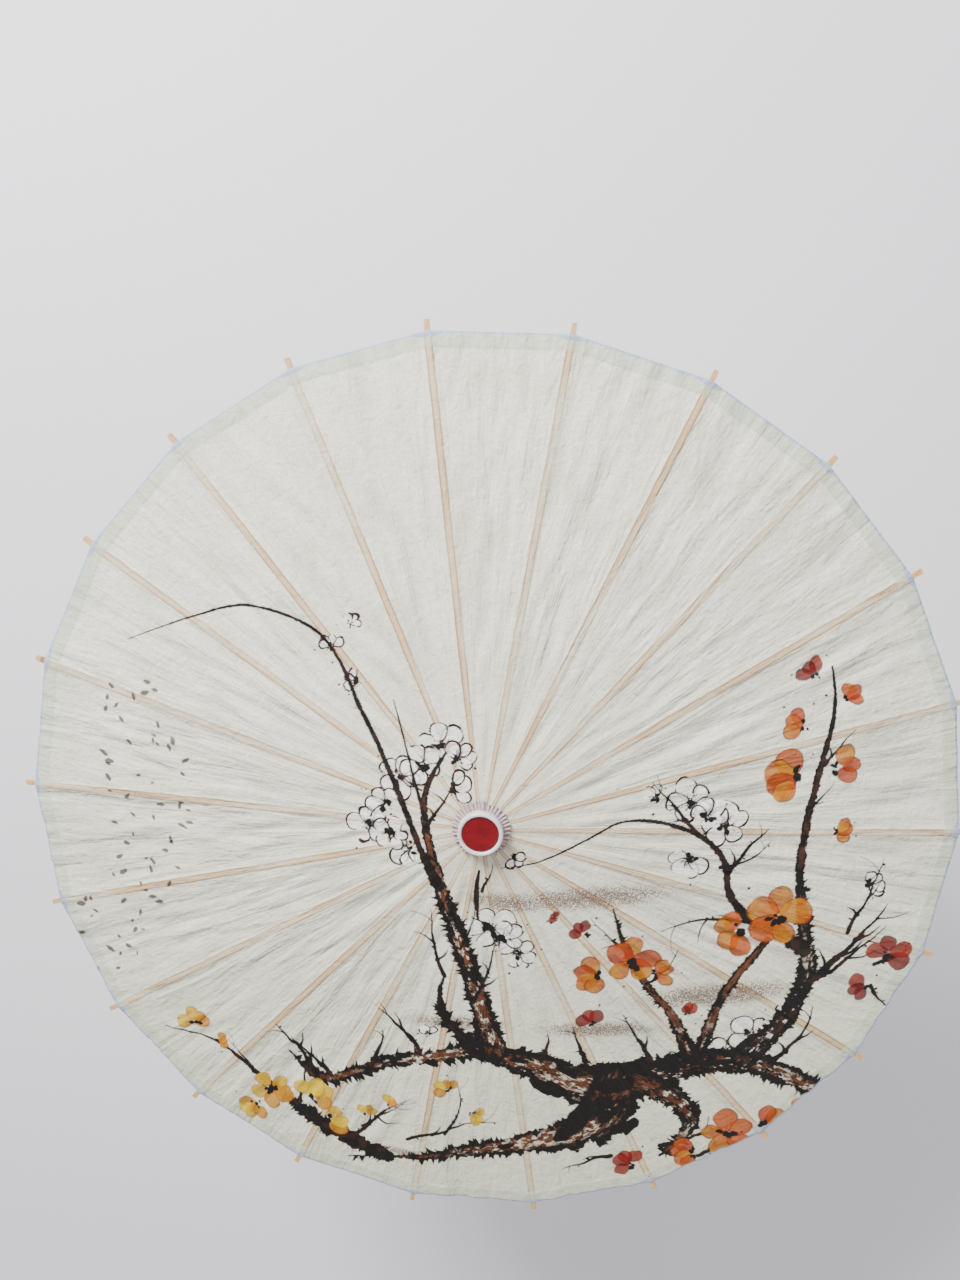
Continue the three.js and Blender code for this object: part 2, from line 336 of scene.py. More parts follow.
# White blossoms, under the stems: place, size, direction, hue, petals and fan
growBlossoms((
    (-36, 70, 17, 1.2, "white", 4, 3.4), (-72, 40, 16, 2.4, "white"), (-98, -6, 15, 3.0, "white"),
    (-62, -24, 15, 4.2, "white", 4, 3.2), (-24, 34, 13, 0.4, "white", 3, 2.0),
    (10, -96, 18, 0.6, "white"), (36, -122, 13, 5.6, "white", 4, 2.8),
    (-132, 148, 9, 1.9, "white", 4, 2.4), (-110, 120, 9, 2.9, "white", 3, 2.0),
    (-116, 168, 7, 1.0, "white", 3, 1.8), (176, 26, 17, 1.9, "white"), (208, 6, 17, 0.4, "white"),
    (178, -26, 15, 4.4, "white", 4, 2.9), (146, 30, 10, 2.4, "white", 3, 2.0),
    (250, -204, 18, 1.0, "white"), (222, -224, 14, 3.2, "white", 4, 2.8),
    (340, -50, 11, 0.4, "white", 4, 2.6), (28, -26, 9, 5.4, "white", 3, 2.2),
    (-44, -214, 8, 1.9, "white", 3, 2.0), (274, -182, 10, 0.5, "white", 3, 2.0),
    (-52, 52, 14, 0.9, "white"), (-84, 14, 14, 2.6, "white", 4, 3.0), (-78, -12, 13, 3.8, "white"),
    (-22, 60, 12, 0.6, "white", 4, 2.6), (22, -106, 14, 0.2, "white", 4, 3.0),
    (192, 14, 14, 1.4, "white", 4, 3.0),
))

# Old limb along the bottom, its sweeping root, and the stems that rise from it
limb = addStroke([(-176, -250, 1.2), (-160, -268, 3), (-140, -276, 5.5), (-112, -264, 5),
                  (-80, -250, 7.5), (-40, -240, 8), (0, -231, 10), (36, -238, 13), (70, -250, 18),
                  (104, -262, 25), (140, -258, 25), (172, -246, 19), (210, -232, 14), (262, -236, 12),
                  (318, -262, 9), (358, -272, 4)], "bark", "rust", 1.0)
root = addStroke([(132, -262, 24), (122, -296, 25), (92, -320, 19), (44, -336, 11), (0, -348, 8),
                  (-40, -358, 4.5), (-84, -364, 2), (-122, -368, 0.8)], "bark", "rust", 1.0)
knuckle = addStroke([(150, -256, 14), (188, -276, 13), (204, -300, 8), (190, -326, 5), (176, -342, 1.5)],
                    "bark", "rust", 1.0)
stem = addStroke([(14, -226, 15), (4, -184, 10), (-12, -128, 8.5), (-28, -80, 7), (-38, -44, 5),
                  (-47, -8, 3.6), (-50, 20, 3), (-43, 44, 2.4), (-32, 64, 1.2)], "bark", "rust", 0.8)
addStroke([(-36, -58, 5.5), (-52, -24, 3.4), (-68, 16, 2.8), (-86, 58, 2.4), (-106, 96, 2.1),
           (-126, 138, 1.7), (-152, 164, 1.5), (-206, 178, 1.4), (-254, 166, 1.1), (-314, 142, 0.5)],
          "twig", "ink", 0.7)
addStroke([(-48, 4, 2), (-60, 44, 1.4), (-70, 80, 1), (-78, 106, 0.5)], "twig", "ink", 0.6)
addStroke([(-1, -40, 1.2), (-3, -62, 2.4), (-1, -88, 1.2)], "twig", "ink", 0.6)
rightStem = addStroke([(246, -226, 13), (276, -186, 10), (292, -140, 9), (286, -96, 6), (276, -40, 4.4),
                       (278, 14, 3.6), (286, 66, 2.8), (292, 112, 2), (286, 146, 0.9)],
                      "bark", "brownInk", 0.8)
addStroke([(286, -112, 8), (262, -96, 6.4), (236, -84, 4.6), (216, -58, 3.6), (210, -30, 3),
           (192, -8, 2.8), (160, 6, 2.1), (120, 8, 1.3), (84, -12, 1), (48, -30, 0.8), (18, -36, 0.5)],
          "twig", "ink", 0.7)
innerStem = addStroke([(196, -226, 8), (176, -184, 5), (150, -150, 4), (130, -116, 2.8), (116, -74, 0.9)],
                      "bark", "rust", 0.8)
secondStem = addStroke([(204, -222, 7), (214, -176, 5), (230, -140, 4.4), (254, -104, 3)],
                       "bark", "rust", 0.8)
lowLeft = addStroke([(-84, -364, 8), (-128, -342, 8.5), (-170, -312, 6), (-206, -282, 3),
                     (-244, -250, 1.5), (-298, -238, 0.6)], "twig", "ink", 1.0)
stub = addStroke([(-6, -222, 7), (-28, -196, 5), (-34, -170, 3), (-30, -150, 1.2)], "twig", "ink", 1.0)
mossSpikes(limb, 150, 10)
mossSpikes(root, 60, 9)
mossSpikes(knuckle, 26, 8)
mossSpikes(stem, 84, 8, 0.02, 0.55)
mossSpikes(rightStem, 56, 7, 0.02, 0.5)
mossSpikes(lowLeft, 44, 8, 0.02, 0.6)
mossSpikes(stub, 22, 8, 0.02, 0.6)
mossSpikes(innerStem, 14, 5)
mossSpikes(secondStem, 12, 5)
for knotX, knotY, knotLength, knotWidth, knotTurn in ((126, -262, 36, 17, 0.2), (84, -248, 24, 9, -0.4),
                                                      (40, -238, 18, 6, -0.2), (146, -308, 20, 11, 1.0),
                                                      (30, -340, 17, 7, 0.3), (230, -232, 17, 6, 0.1),
                                                      (96, -304, 54, 22, 0.9), (70, -268, 46, 14, -0.4)):
    addSpot("dab", knotX, knotY, knotLength, knotWidth, knotTurn, colour="ink")

# Twigs: place, direction, length, thickness, spurs and bend
for twigSpec in (
    (-150, -272, 1.9, 64, 3.4, 3, 0.3), (-136, -272, 2.6, 56, 2.8, 3, -0.4), (-100, -258, 1.2, 46, 3, 2, 0.5),
    (-52, -236, 2.1, 60, 3, 3, 0.3), (-30, -150, 2.2, 70, 2.2, 3, -0.5), (-16, -120, 1.25, 54, 1.8, 2, 0.4),
    (-48, -4, 1.2, 60, 1.9, 3, 0.3), (-98, 84, 2.3, 40, 1.3, 2, -0.35), (2, -60, 1.5, 30, 1.6, 1, 0.1),
    (-4, -176, 1.15, 70, 2.4, 3, 0.2), (302, -142, 0.95, 92, 4, 3, 0.45), (324, -96, 1.45, 76, 2.2, 3, -0.2),
    (292, -150, 0.5, 90, 3, 3, 0.3), (212, -44, 1.2, 58, 2.8, 2, 0.2), (184, -2, 2.3, 62, 2.6, 3, -0.2),
    (206, -34, 0.3, 50, 1.8, 2, 0.2), (240, -88, 2.9, 84, 2.2, 3, 0.1), (134, -120, 2.6, 52, 1.6, 2, -0.2),
    (150, -150, 0.5, 46, 1.8, 2, 0.3), (-206, -282, 2.0, 48, 1.6, 2, 0.2), (-168, -312, 1.5, 62, 2.2, 2, 0.2),
    (-120, -344, 0.9, 74, 2.6, 3, -0.3), (-28, -330, 1.25, 66, 1.8, 2, 0.3),
    (-64, -340, 0.15, 92, 2.2, 2, 0.1),
    (-108, -330, 0.45, 60, 1.6, 2, 0.2), (-52, 30, 2.5, 40, 1, 2, 0), (288, 60, 0.9, 40, 1.8, 1, 0.2),
    (276, 20, 0.6, 34, 1.5, 1, 0.4), (176, -330, 0.4, 76, 3, 3, 0.3), (212, -340, 0.35, 62, 2.4, 2, 0.2),
    (334, -262, 0.7, 50, 2.6, 2, 0.4), (352, -128, 0.6, 36, 2.2, 2, 0.2), (160, -232, 1.9, 56, 3, 2, -0.3),
    (100, -236, 1.9, 40, 3, 2, 0.3), (60, -236, 1.1, 30, 3, 1, 0.3), (270, -232, 0.6, 70, 3, 3, 0.3),
    (-94, -262, 2.6, 30, 3, 1, 0.6), (352, -150, -0.9, 30, 2.4, 2, 0.3), (130, -344, 3.3, 50, 2.4, 2, 0.2),
):
    twig(*twigSpec)

# Coloured blossoms and buds, over the twigs
growBlossoms((
    (262, -80, 23, 1.4, "orange"), (228, -96, 19, 3.4, "orange", 4, 2.6),
    (264, 50, 21, 3.2, "orange", 4, 2.2), (300, 58, 16, 0.4, "orange", 3, 1.9),
    (266, 94, 14, 2.8, "orange", 3, 1.8), (302, 118, 11, 0.8, "orange", 3, 1.4),
    (272, 138, 12, 2.2, "red", 3, 1.6), (304, 0, 11, 0.2, "orange", 3, 1.4),
    (136, -126, 19, 1.5, "orange"), (106, -142, 17, 3.4, "orange", 4, 2.4),
    (158, -140, 13, 0.3, "orange", 3, 1.8), (92, -100, 11, 2.4, "red", 3, 1.6),
    (68, -84, 6, 2.8, "red", 3, 1.4), (104, -192, 11, 2.0, "red", 3, 1.6),
    (236, -312, 20, 1.8, "orange"), (272, -302, 18, 0.3, "orange", 4, 2.4),
    (206, -338, 15, 3.4, "orange", 4, 2.4), (364, -118, 16, 1.0, "red", 4, 3.4),
    (346, -150, 12, 3.6, "red", 3, 1.8), (150, -352, 14, 2.6, "red", 4, 2.4),
    (298, -286, 11, 0.7, "orange", 3, 1.6), (-268, -230, 13, 1.6, "yellow", 4, 2.8),
    (-246, -248, 8, 0.3, "yellow", 3, 1.6), (-196, -296, 17, 2.2, "yellow"),
    (-156, -300, 17, 0.9, "yellow", 4, 2.6), (-212, -318, 14, 4.0, "yellow", 4, 2.4),
    (-140, -326, 15, 0.1, "yellow", 3, 1.8), (-104, -314, 9, 1.2, "yellow", 3, 1.8),
    (-26, -278, 11, 2.2, "yellow", 4, 2.6), (-2, -304, 10, 5.8, "yellow", 3, 1.6),
    (-84, -300, 8, 1.0, "yellow", 3, 1.6), (190, -180, 8, 1.6, "red", 3, 1.4),
))

# Ink petals drifting down past the long twig
drift = {"count": 72, "left": -334, "sway": 34, "bends": 4.2, "top": 100, "fall": 280, "size": (4, 8.5)}
for k in range(drift["count"]):
    fallen = k / (drift["count"] - 1)
    petalX = drift["left"] + drift["sway"] * math.sin(fallen * drift["bends"]) + brush.uniform(-38, 42)
    petalY = drift["top"] - drift["fall"] * fallen + brush.uniform(-9, 9)
    petalSize = brush.uniform(*drift["size"])
    addSpot("petal", petalX, petalY, petalSize, petalSize * brush.uniform(0.42, 0.66),
            brush.uniform(0, 2 * math.pi), colour="brownInk", tip="ink", edge="ink", solid=0.85, point=0.35)


def paintStroke(mark, x, y):
    path = mark["path"]
    gap = np.full(len(x), 1e9)
    radius, along, off = np.ones(len(x)), np.zeros(len(x)), np.zeros(len(x))
    start = 0
    for a, b in zip(path, path[1:]):
        run = b - a
        length = math.hypot(run[0], run[1]) + 1e-9
        t = np.clip(((x - a[0]) * run[0] + (y - a[1]) * run[1]) / length**2, 0, 1)
        r = a[2] + t * run[2]
        awayX, awayY = x - a[0] - t * run[0], y - a[1] - t * run[1]
        d = np.hypot(awayX, awayY) - r
        closer = d < gap
        gap[closer], radius[closer] = d[closer], r[closer]
        along[closer] = start + t[closer] * length
        off[closer] = (run[0] * awayY - run[1] * awayX)[closer] / length
        start += length
    grain = latticeNoise(x, y, 2.6, 3) * 0.6 + latticeNoise(x, y, 1.1, 4) * 0.4
    lumps = latticeNoise(x, y, 11, 5) - 0.5
    ragged = gap + ((grain - 0.5) * np.minimum(radius, 7) * 0.9 + lumps * radius * 0.5) * mark["rag"]
    cover = smoothStep(0.35, -0.45, ragged)
    dark = inkTones["ink"]
    if mark["look"] == "twig":
        share = smoothStep(0.5, 0.78, latticeNoise(x, y, 9, 6)) * 0.5
        return dark + (inkTones["brownInk"] - dark) * share[:, None], cover
    # dry brush drawn along the limb: rust over black, with the paper showing in the thinnest places
    depth = np.clip(-gap / radius, 0, 1)
    streak = latticeNoise(along, off * 2.4, 7, 7) * 0.55 + latticeNoise(along, off * 2.6, 2.3, 8) * 0.45
    patches = latticeNoise(x, y, 24, 9)
    share = smoothStep(0.47, 0.58, streak * 0.55 + patches * 0.45 + 0.14 * (depth - 0.5))
    share = share * smoothStep(0.14, 0.34, depth) * smoothStep(-0.75, -0.3, -off / radius)
    share = share * smoothStep(1.8, 4, radius)
    warm = inkTones[mark["colour"]] * (0.65 + 0.75 * latticeNoise(along, off * 2, 4, 18))[:, None]
    scratch = latticeNoise(along, off * 2.2, 5, 19) * 0.6 + latticeNoise(along, off * 3, 1.7, 20) * 0.4
    bare = smoothStep(0.56, 0.66, scratch) * share * smoothStep(4, 8, radius)
    return dark + (warm - dark) * share[:, None], cover * (1 - 0.75 * bare)


def paintSpot(mark, x, y):
    dx, dy = x - mark["centre"][0], y - mark["centre"][1]
    c, s = math.cos(mark["turn"]), math.sin(mark["turn"])
    u, v = dx * c + dy * s, dy * c - dx * s
    length, width = mark["length"], mark["width"]
    tone = inkTones[mark["colour"]]
    plain = np.repeat(tone[None], len(x), 0)
    wobble = (latticeNoise(x, y, max(1.6, width * 0.5), 13) - 0.5) * width * 0.3
    if mark["form"] == "spike":  # broad at its foot, pointed at its end
        p = u / length + 0.5
        gap = np.abs(v) - width / 2 * (1 - np.clip(p, 0, 1)) ** 0.8
        gap = np.maximum(gap, np.maximum(-p, p - 1) * length)
        return plain, smoothStep(0.25, -0.3, gap + wobble * 0.5)
    if mark["form"] == "dab":
        gap = (np.sqrt((u / (length / 2)) ** 2 + (v / (width / 2)) ** 2) - 1) * width / 2 + wobble
        return plain, smoothStep(0.25, -0.3, gap)
    # a petal is widest past its middle, and may end in a point
    ahead = np.clip(u / (length / 2), -1, 1)
    taper = width / 2 * (0.88 + 0.2 * ahead) * (1 - mark["point"] * np.clip(ahead, 0, 1) ** 2)
    gap = (np.sqrt((u / (length / 2)) ** 2 + (v / taper) ** 2) - 1) * width / 2 + wobble * 0.55
    inside = smoothStep(0.3, -0.3, gap)
    outward = np.clip(u / length + 0.5, 0, 1)
    vein = latticeNoise(np.arctan2(v, u + length * 0.62) * 26, u * 0.16, 1.2, 14)
    tip, edge = inkTones[mark["tip"]], inkTones[mark["edge"]]
    mixed = np.clip(outward * 0.9 + 0.6 * (vein - 0.5) + 0.7 * (latticeNoise(x, y, 5, 15) - 0.5), 0, 1)
    colour = tone + (tip - tone) * mixed[:, None]
    lineWidth = (0.3 if mark["colour"] != "chalk" else 0.5) + 0.65 * latticeNoise(x, y, 7, 16)
    whole = 0.12 if mark["colour"] == "chalk" else 0  # white blossoms have few gaps in their outline
    broken = smoothStep(0.28, 0.42, latticeNoise(x, y, 8, 17) + whole)
    line = smoothStep(lineWidth + 0.3, lineWidth - 0.15, np.abs(gap + 0.35)) * broken
    if mark["colour"] != "chalk":
        line = np.maximum(line * 0.8, inside * smoothStep(0.72, 0.86, vein) * 0.4)
    colour = colour + (edge - colour) * line[:, None]
    return colour, np.maximum(inside * mark["solid"], line)


def paintAt(x, y):
    # x and y in millimetres; gives each point's paint colour and how much paint lies there
    colour = np.zeros((len(x), 3))
    cover = np.zeros(len(x))
    spread = (x.min(), x.max(), y.min(), y.max())
    for mark in marks:
        (lowX, lowY), (highX, highY) = mark["low"], mark["high"]
        if highX < spread[0] or lowX > spread[1] or highY < spread[2] or lowY > spread[3]:
            continue
        near = np.nonzero((x > lowX) & (x < highX) & (y > lowY) & (y < highY))[0]
        if len(near) == 0:
            continue
        tone, laid = (paintStroke if mark["form"] == "stroke" else paintSpot)(mark, x[near], y[near])
        total = laid + cover[near] * (1 - laid)
        share = (laid / np.maximum(total, 1e-6))[:, None]
        colour[near] = colour[near] * (1 - share) + tone * share
        cover[near] = total
    return colour, cover


# A plan of where there is paint says where the paper's mesh has to be fine. Each halving of the
# mesh keeps closer to the paint than the one before.
planStep = 1.0
planSide = int(2 * (paperRadius / mm + 8) / planStep) + 1
planLow = -planSide * planStep / 2
planLine = planLow + np.arange(planSide) * planStep
planX, planY = np.meshgrid(planLine, planLine)
_, planCover = paintAt(planX.ravel(), planY.ravel())


def widened(mask):
    return mask | np.roll(mask, 1, 0) | np.roll(mask, -1, 0) | np.roll(mask, 1, 1) | np.roll(mask, -1, 1)


leastPaint = 0.12  # thinner paint than this needs no fine mesh
planMasks = [widened((planCover > leastPaint).reshape(planSide, planSide))]
for _ in range(2):
    planMasks.insert(0, widened(planMasks[0]))
planMasks[0] = widened(planMasks[0])
print(f"painting laid out: {len(marks)} brush marks, {planMasks[-1].mean():.3f} of the plan")


# The paper. A point is known by the place s where its chord crosses the rib, and its distance
# across from the rib; the same surface carries on from one rib's share to the next.
paper = {
    "thickness": 0.3 * mm,
    "gluePad": 0.05 * mm,  # between a rib and the paper's underside
    "innerRadius": 19 * mm,
    "rowStep": 5 * mm,
    "columns": 15,
    "sag": 1.0 * mm,
    "creaseDepth": 0.25 * mm,
    "creaseWidth": 3 * mm,
    "ribRidge": 0.35 * mm,
    "wrinkle": 0.85 * mm,
    "hem": 13 * mm,
    "hemStep": 0.2 * mm,
    "freeHalf": 14 * mm,  # half a panel's width, from which it can sag and wrinkle fully
    "fullWave": 30 * mm,  # shorter waves than this stay lower
    "edgeRoll": 0.5 * mm,
    "edgeRollWidth": 1.6 * mm,
    "shineThrough": 0.28,  # how strong the painting looks from below
    "fineSteps": 3,  # halvings of the mesh under the painting
    "foldRoom": 0.91,
    "finestEdge": 1.05 * mm,  # an edge shorter than this is not halved again
}
paperLift = (ribThickness / 2 + paper["gluePad"] + paper["thickness"]) / math.cos(openSlope)


def squashWithRib(piece, rib):
    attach(piece, ribBodies[rib])
    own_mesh(piece)


folds = np.random.default_rng(7)
waveCount = 9
waves = {
    "along": folds.normal(0, 1 / 0.11, (ribCount, waveCount)),
    "across": folds.uniform(1 / 0.05, 1 / 0.011, (ribCount, waveCount))
    * folds.choice((-1, 1), (ribCount, waveCount)),
    "phase": folds.uniform(0, 2 * math.pi, (ribCount, waveCount)),
    "swell": folds.uniform(1 / 0.3, 1 / 0.09, (ribCount, waveCount)),
}


def paperHeight(s):
    return pivotHeight + (pivotRadius - s) * math.tan(openSlope) + paperLift


def bandHalf(s):
    # half the width of the rib and its glue line under the paper
    return (1.5 + 1.3 * smoothStep(20 * mm, 170 * mm, s)) * mm


def paperRelief(s, y, rib):
    half = s * math.sin(ribStep) / 2
    across = np.abs(y)
    toFold = np.maximum(half - across, 0)
    hollow = np.sin(np.pi / 2 * np.clip(across / half, 0, 1)) ** 2
    room = np.minimum(1, half / paper["freeHalf"])
    relief = -paper["sag"] * hollow * s / paperRadius
    relief += paper["ribRidge"] * (1 - smoothStep(bandHalf(s), bandHalf(s) + 1.2 * mm, across)) * room
    panel = np.where(y >= 0, rib, (rib - 1) % ribCount)
    fromFold = np.where(y >= 0, -toFold, toFold)
    fadeOut = 0.5 + 0.5 * np.sin(2 * np.pi * s * waves["swell"][panel, 0] + waves["phase"][panel, 0])
    relief -= paper["creaseDepth"] * np.exp(-toFold / paper["creaseWidth"]) * room * fadeOut
    loose = np.sqrt(hollow) * room
    for k in range(waveCount):
        turn = 2 * np.pi * (s * waves["along"][panel, k] + fromFold * waves["across"][panel, k])
        swell = 0.5 + 0.5 * np.sin(2 * np.pi * s * waves["swell"][panel, k] + waves["phase"][panel, k] * 3)
        bent = np.sin(turn + waves["phase"][panel, k])
        length = 1 / np.hypot(waves["along"][panel, k], waves["across"][panel, k])
        relief += paper["wrinkle"] * np.minimum(length / paper["fullWave"], 1) * loose * swell**2 * bent
    fromEdge = paperRadius - s
    relief += paper["hemStep"] * (1 - smoothStep(paper["hem"] - 0.4 * mm, paper["hem"] + 0.4 * mm, fromEdge))
    relief -= paper["edgeRoll"] * (1 - smoothStep(0, paper["edgeRollWidth"], fromEdge))
    return relief


def columnPlaces(s):
    # close together beside the rib, then even out to the middle fold
    half = s * math.sin(ribStep) / 2
    beside = np.array([0, 1.3, 2.1, 2.6, 3.2, 3.9]) * mm * min(1, half / (9 * mm))
    rest = beside[-1] + (half - beside[-1]) * np.arange(1, paper["columns"] - 4) / (paper["columns"] - 5)
    right = np.concatenate([beside, rest])
    return np.concatenate([-right[:0:-1], right])


def sheetGrid(rows):
    # a flat grid in the rib's own plan, x along the rib and y across it
    builder = bmesh.new()
    grid = []
    for s in rows:
        grid.append([builder.verts.new((s - abs(y) * math.tan(ribStep / 2), y, 0)) for y in columnPlaces(s)])
    for low, high in zip(grid, grid[1:]):
        for k in range(len(low) - 1):
            builder.faces.new((low[k], high[k], high[k + 1], low[k + 1]))
    return builder


def planPlaces(x, y, rib):
    c, s = math.cos(rib * ribStep), math.sin(rib * ribStep)
    return x * c - y * s, x * s + y * c


def painted(edge, rib, mask):
    a, b = edge.verts[0].co, edge.verts[1].co
    x, y = planPlaces((a.x + b.x) / 2 / mm, (a.y + b.y) / 2 / mm, rib)
    column = int((x - planLow) / planStep + 0.5)
    row = int((y - planLow) / planStep + 0.5)
    return mask[min(max(row, 0), planSide - 1), min(max(column, 0), planSide - 1)]


def newPiece(name, mesh, finish):
    mesh.materials.append(finish)
    piece = bpy.data.objects.new(name, mesh)
    bpy.context.scene.collection.objects.link(piece)
    bpy.ops.object.select_all(action="DESELECT")
    piece.select_set(True)
    bpy.context.view_layer.objects.active = piece
    bpy.ops.object.shade_smooth()
    return piece


def applyModifier(piece, kind, settings):
    modifier = piece.modifiers.new(kind.lower(), kind)
    for key, value in settings.items():
        setattr(modifier, key, value)
    bpy.ops.object.modifier_apply(modifier=modifier.name)


def finishSheet(name, builder, rib):
    # lifts the flat plan into place, then paints it and gives it its thickness
    mesh = bpy.data.meshes.new(name)
    builder.normal_update()
    builder.to_mesh(mesh)
    builder.free()
    count = len(mesh.vertices)
    places = np.empty(count * 3)
    mesh.vertices.foreach_get("co", places)
    x, y = places.reshape(-1, 3)[:, 0], places.reshape(-1, 3)[:, 1]
    s = x + np.abs(y) * math.tan(ribStep / 2)
    z = paperHeight(s) + paperRelief(s, y, rib)
    aroundX, aroundY = planPlaces(x, y, rib)
    mesh.vertices.foreach_set("co", np.stack([aroundX, aroundY, z], 1).ravel())
    colour, cover = paintAt(aroundX / mm, aroundY / mm)
    paint = mesh.attributes.new("paint", "FLOAT_COLOR", "POINT")
    paint.data.foreach_set("color", np.concatenate([colour, cover[:, None]], 1).ravel())
    for label, values in (("offRib", np.abs(y) / bandHalf(s)), ("fromEdge", (paperRadius - s) / mm),
                          ("toFold", (s * math.sin(ribStep) / 2 - np.abs(y)) / mm),
                          ("mist", mistAt(aroundX / mm, aroundY / mm))):
        mesh.attributes.new(label, "FLOAT", "POINT").data.foreach_set("value", values)
    piece = newPiece(name, mesh, paperFinish)
    applyModifier(piece, "SOLIDIFY", {"thickness": paper["thickness"], "offset": -1})
    bpy.ops.object.shade_smooth_by_angle(angle=crispAngle)  # keeps the cut edges crisp
    fade = np.ones(len(piece.data.vertices))
    fade[count:] = paper["shineThrough"]
    shown = np.empty(len(fade) * 4)
    paint = piece.data.attributes["paint"]
    paint.data.foreach_get("color", shown)
    shown = shown.reshape(-1, 4)
    shown[:, 3] *= fade
    paint.data.foreach_set("color", shown.ravel())
    return piece


# Oiled mulberry paper: ivory, mottled and fibrous, half matt from the tung oil. The ribs show
# through it as warm bands, their own tan plus a painted glow of light through the paper, with a
# line of painted shade at each side.
paperFinish, paperShader = newFinish("oiledMulberryPaper", {"Roughness": 0.62, "Specular IOR Level": 0.18})


def buildPaperFinish():
    m = paperFinish
    place = addNode(m, "TexCoord", {}, {}).outputs["Object"]
    offRib, fromEdge, toFold, mist = (addNode(m, "Attribute", {"attribute_name": name}, {}).outputs["Fac"]
                                      for name in ("offRib", "fromEdge", "toFold", "mist"))
    cloud = addNode(m, "TexNoise", {"Scale": 1 / 0.045, "Detail": 5, "Roughness": 0.6}, {"Vector": place})
    fibre = addNode(m, "TexNoise", {"Scale": 1 / 0.0022, "Detail": 3, "Distortion": 1.5}, {"Vector": place})
    cloud, fibre = cloud.outputs["Fac"], fibre.outputs["Fac"]

    # creases that fan out from the hub: noise on the direction from the shaft
    apart = addNode(m, "SeparateXYZ", {}, {"Vector": place}).outputs
    flat = addNode(m, "CombineXYZ", {}, {"X": apart["X"], "Y": apart["Y"]}).outputs[0]
    away = addNode(m, "VectorMath", {"operation": "LENGTH"}, {0: flat}).outputs["Value"]
    around = addNode(m, "VectorMath", {"operation": "NORMALIZE"}, {0: flat}).outputs[0]
    fan = addNode(m, "VectorMath", {"operation": "SCALE", "Scale": 15}, {0: around}).outputs[0]
    outward = addNode(m, "Math", {"operation": "MULTIPLY", 1: 9}, {0: away}).outputs[0]
    lift = addNode(m, "CombineXYZ", {}, {"Z": outward}).outputs[0]
    fanned = addNode(m, "VectorMath", {"operation": "ADD"}, {0: fan, 1: lift}).outputs[0]
    streaks = addNode(m, "TexNoise", {"Scale": 1, "Detail": 3, "Distortion": 0.6}, {"Vector": fanned})
    streaks = streaks.outputs["Fac"]

    # small puckers where the paste dried, longest along the ribs
    finer = addNode(m, "VectorMath", {"operation": "SCALE", "Scale": 3.2}, {0: fanned}).outputs[0]
    pleats = addNode(m, "TexNoise", {"Scale": 1, "Detail": 3, "Distortion": 1.2}, {"Vector": finer})
    puckers = addNode(m, "TexNoise", {"Scale": 1 / 0.009, "Detail": 2, "Distortion": 0.8}, {"Vector": place})
    pleats, puckers = pleats.outputs["Fac"], puckers.outputs["Fac"]

    # the rib's band is frayed by the puckers, with a darker line of painted shade along each of its sides
    frayed = addNode(m, "Math", {"operation": "MULTIPLY_ADD", 1: 0.5, 2: -0.25}, {0: puckers}).outputs[0]
    offRib = addNode(m, "Math", {"operation": "ADD"}, {0: offRib, 1: frayed}).outputs[0]
    besideRib = addNode(m, "Math", {"operation": "SUBTRACT", 1: 0.92}, {0: offRib}).outputs[0]
    besideRib = addNode(m, "Math", {"operation": "ABSOLUTE"}, {0: besideRib}).outputs[0]
    stipple = addNode(m, "TexNoise", {"Scale": 1 / 0.0013, "Detail": 3, "Roughness": 0.7}, {"Vector": place})
    speckled = addNode(m, "Math", {"operation": "MULTIPLY_ADD", 1: 0.2}, {0: mist, 2: stipple.outputs["Fac"]})

    # soft steps: what is read, where the step starts and ends, and its value at each end
    hemWidth = paper["hem"] / mm
    steps = {
        "looseness": (away, 0.03, 0.24, 0.12, 1),
        "hubWarmth": (away, 0.03, 0.2, 0.35, 0),
        # painted shade: the lower (-Y) half of the paper darker and yellower
        "oil": (apart["Y"], 0.1, -0.35, 0, 0.6),
        "shade": (streaks, 0.5, 0.32, 0, 0.3),
        "fade": (streaks, 0.35, 0.65, 0.4, 1),
        # partly painted light: the band is the rib's own tan plus a painted glow of light through the paper
        "band": (offRib, 1.35, 0.75, 0, 1),
        # painted shade: a darker line at each side of the rib, where the paper dips
        "line": (besideRib, 0.4, 0.05, 0, 0.8),
        # painted shade along each panel's middle fold
        "fold": (toFold, 1.2, 0.1, 0, 0.07),
        "hem": (fromEdge, hemWidth + 0.8, hemWidth - 0.8, 0, 0.6),
        "speck": (speckled.outputs[0], 0.58, 0.66, 0.12, 0.85),
        "drift": (mist, 0.06, 0.6, 0, 1),
        "nearRib": (offRib, 5, 0.6, 0, 3.2),
        "gloss": (cloud, 0.2, 0.8, 0.5, 0.72),
    }
    soft = {}
    for name, (value, start, end, low, high) in steps.items():
        soft[name] = addNode(m, "MapRange", {
            "interpolation_type": "SMOOTHSTEP", "From Min": start, "From Max": end, "To Min": low,
            "To Max": high}, {"Value": value}).outputs[0]
    for name, other in (("band", "fade"), ("line", "fade"), ("speck", "drift")):
        soft[name] = addNode(m, "Math", {"operation": "MULTIPLY"}, {0: soft[name], 1: soft[other]}).outputs[0]
    # the blue edging reaches further in beside the ribs
    edging = addNode(m, "Math", {"operation": "SUBTRACT"}, {0: fromEdge, 1: soft["nearRib"]}).outputs[0]
    soft["edging"] = addNode(m, "MapRange", {
        "interpolation_type": "SMOOTHSTEP", "From Min": 2.4, "From Max": 1.2, "To Min": 0, "To Max": 0.85},
        {"Value": edging}).outputs[0]
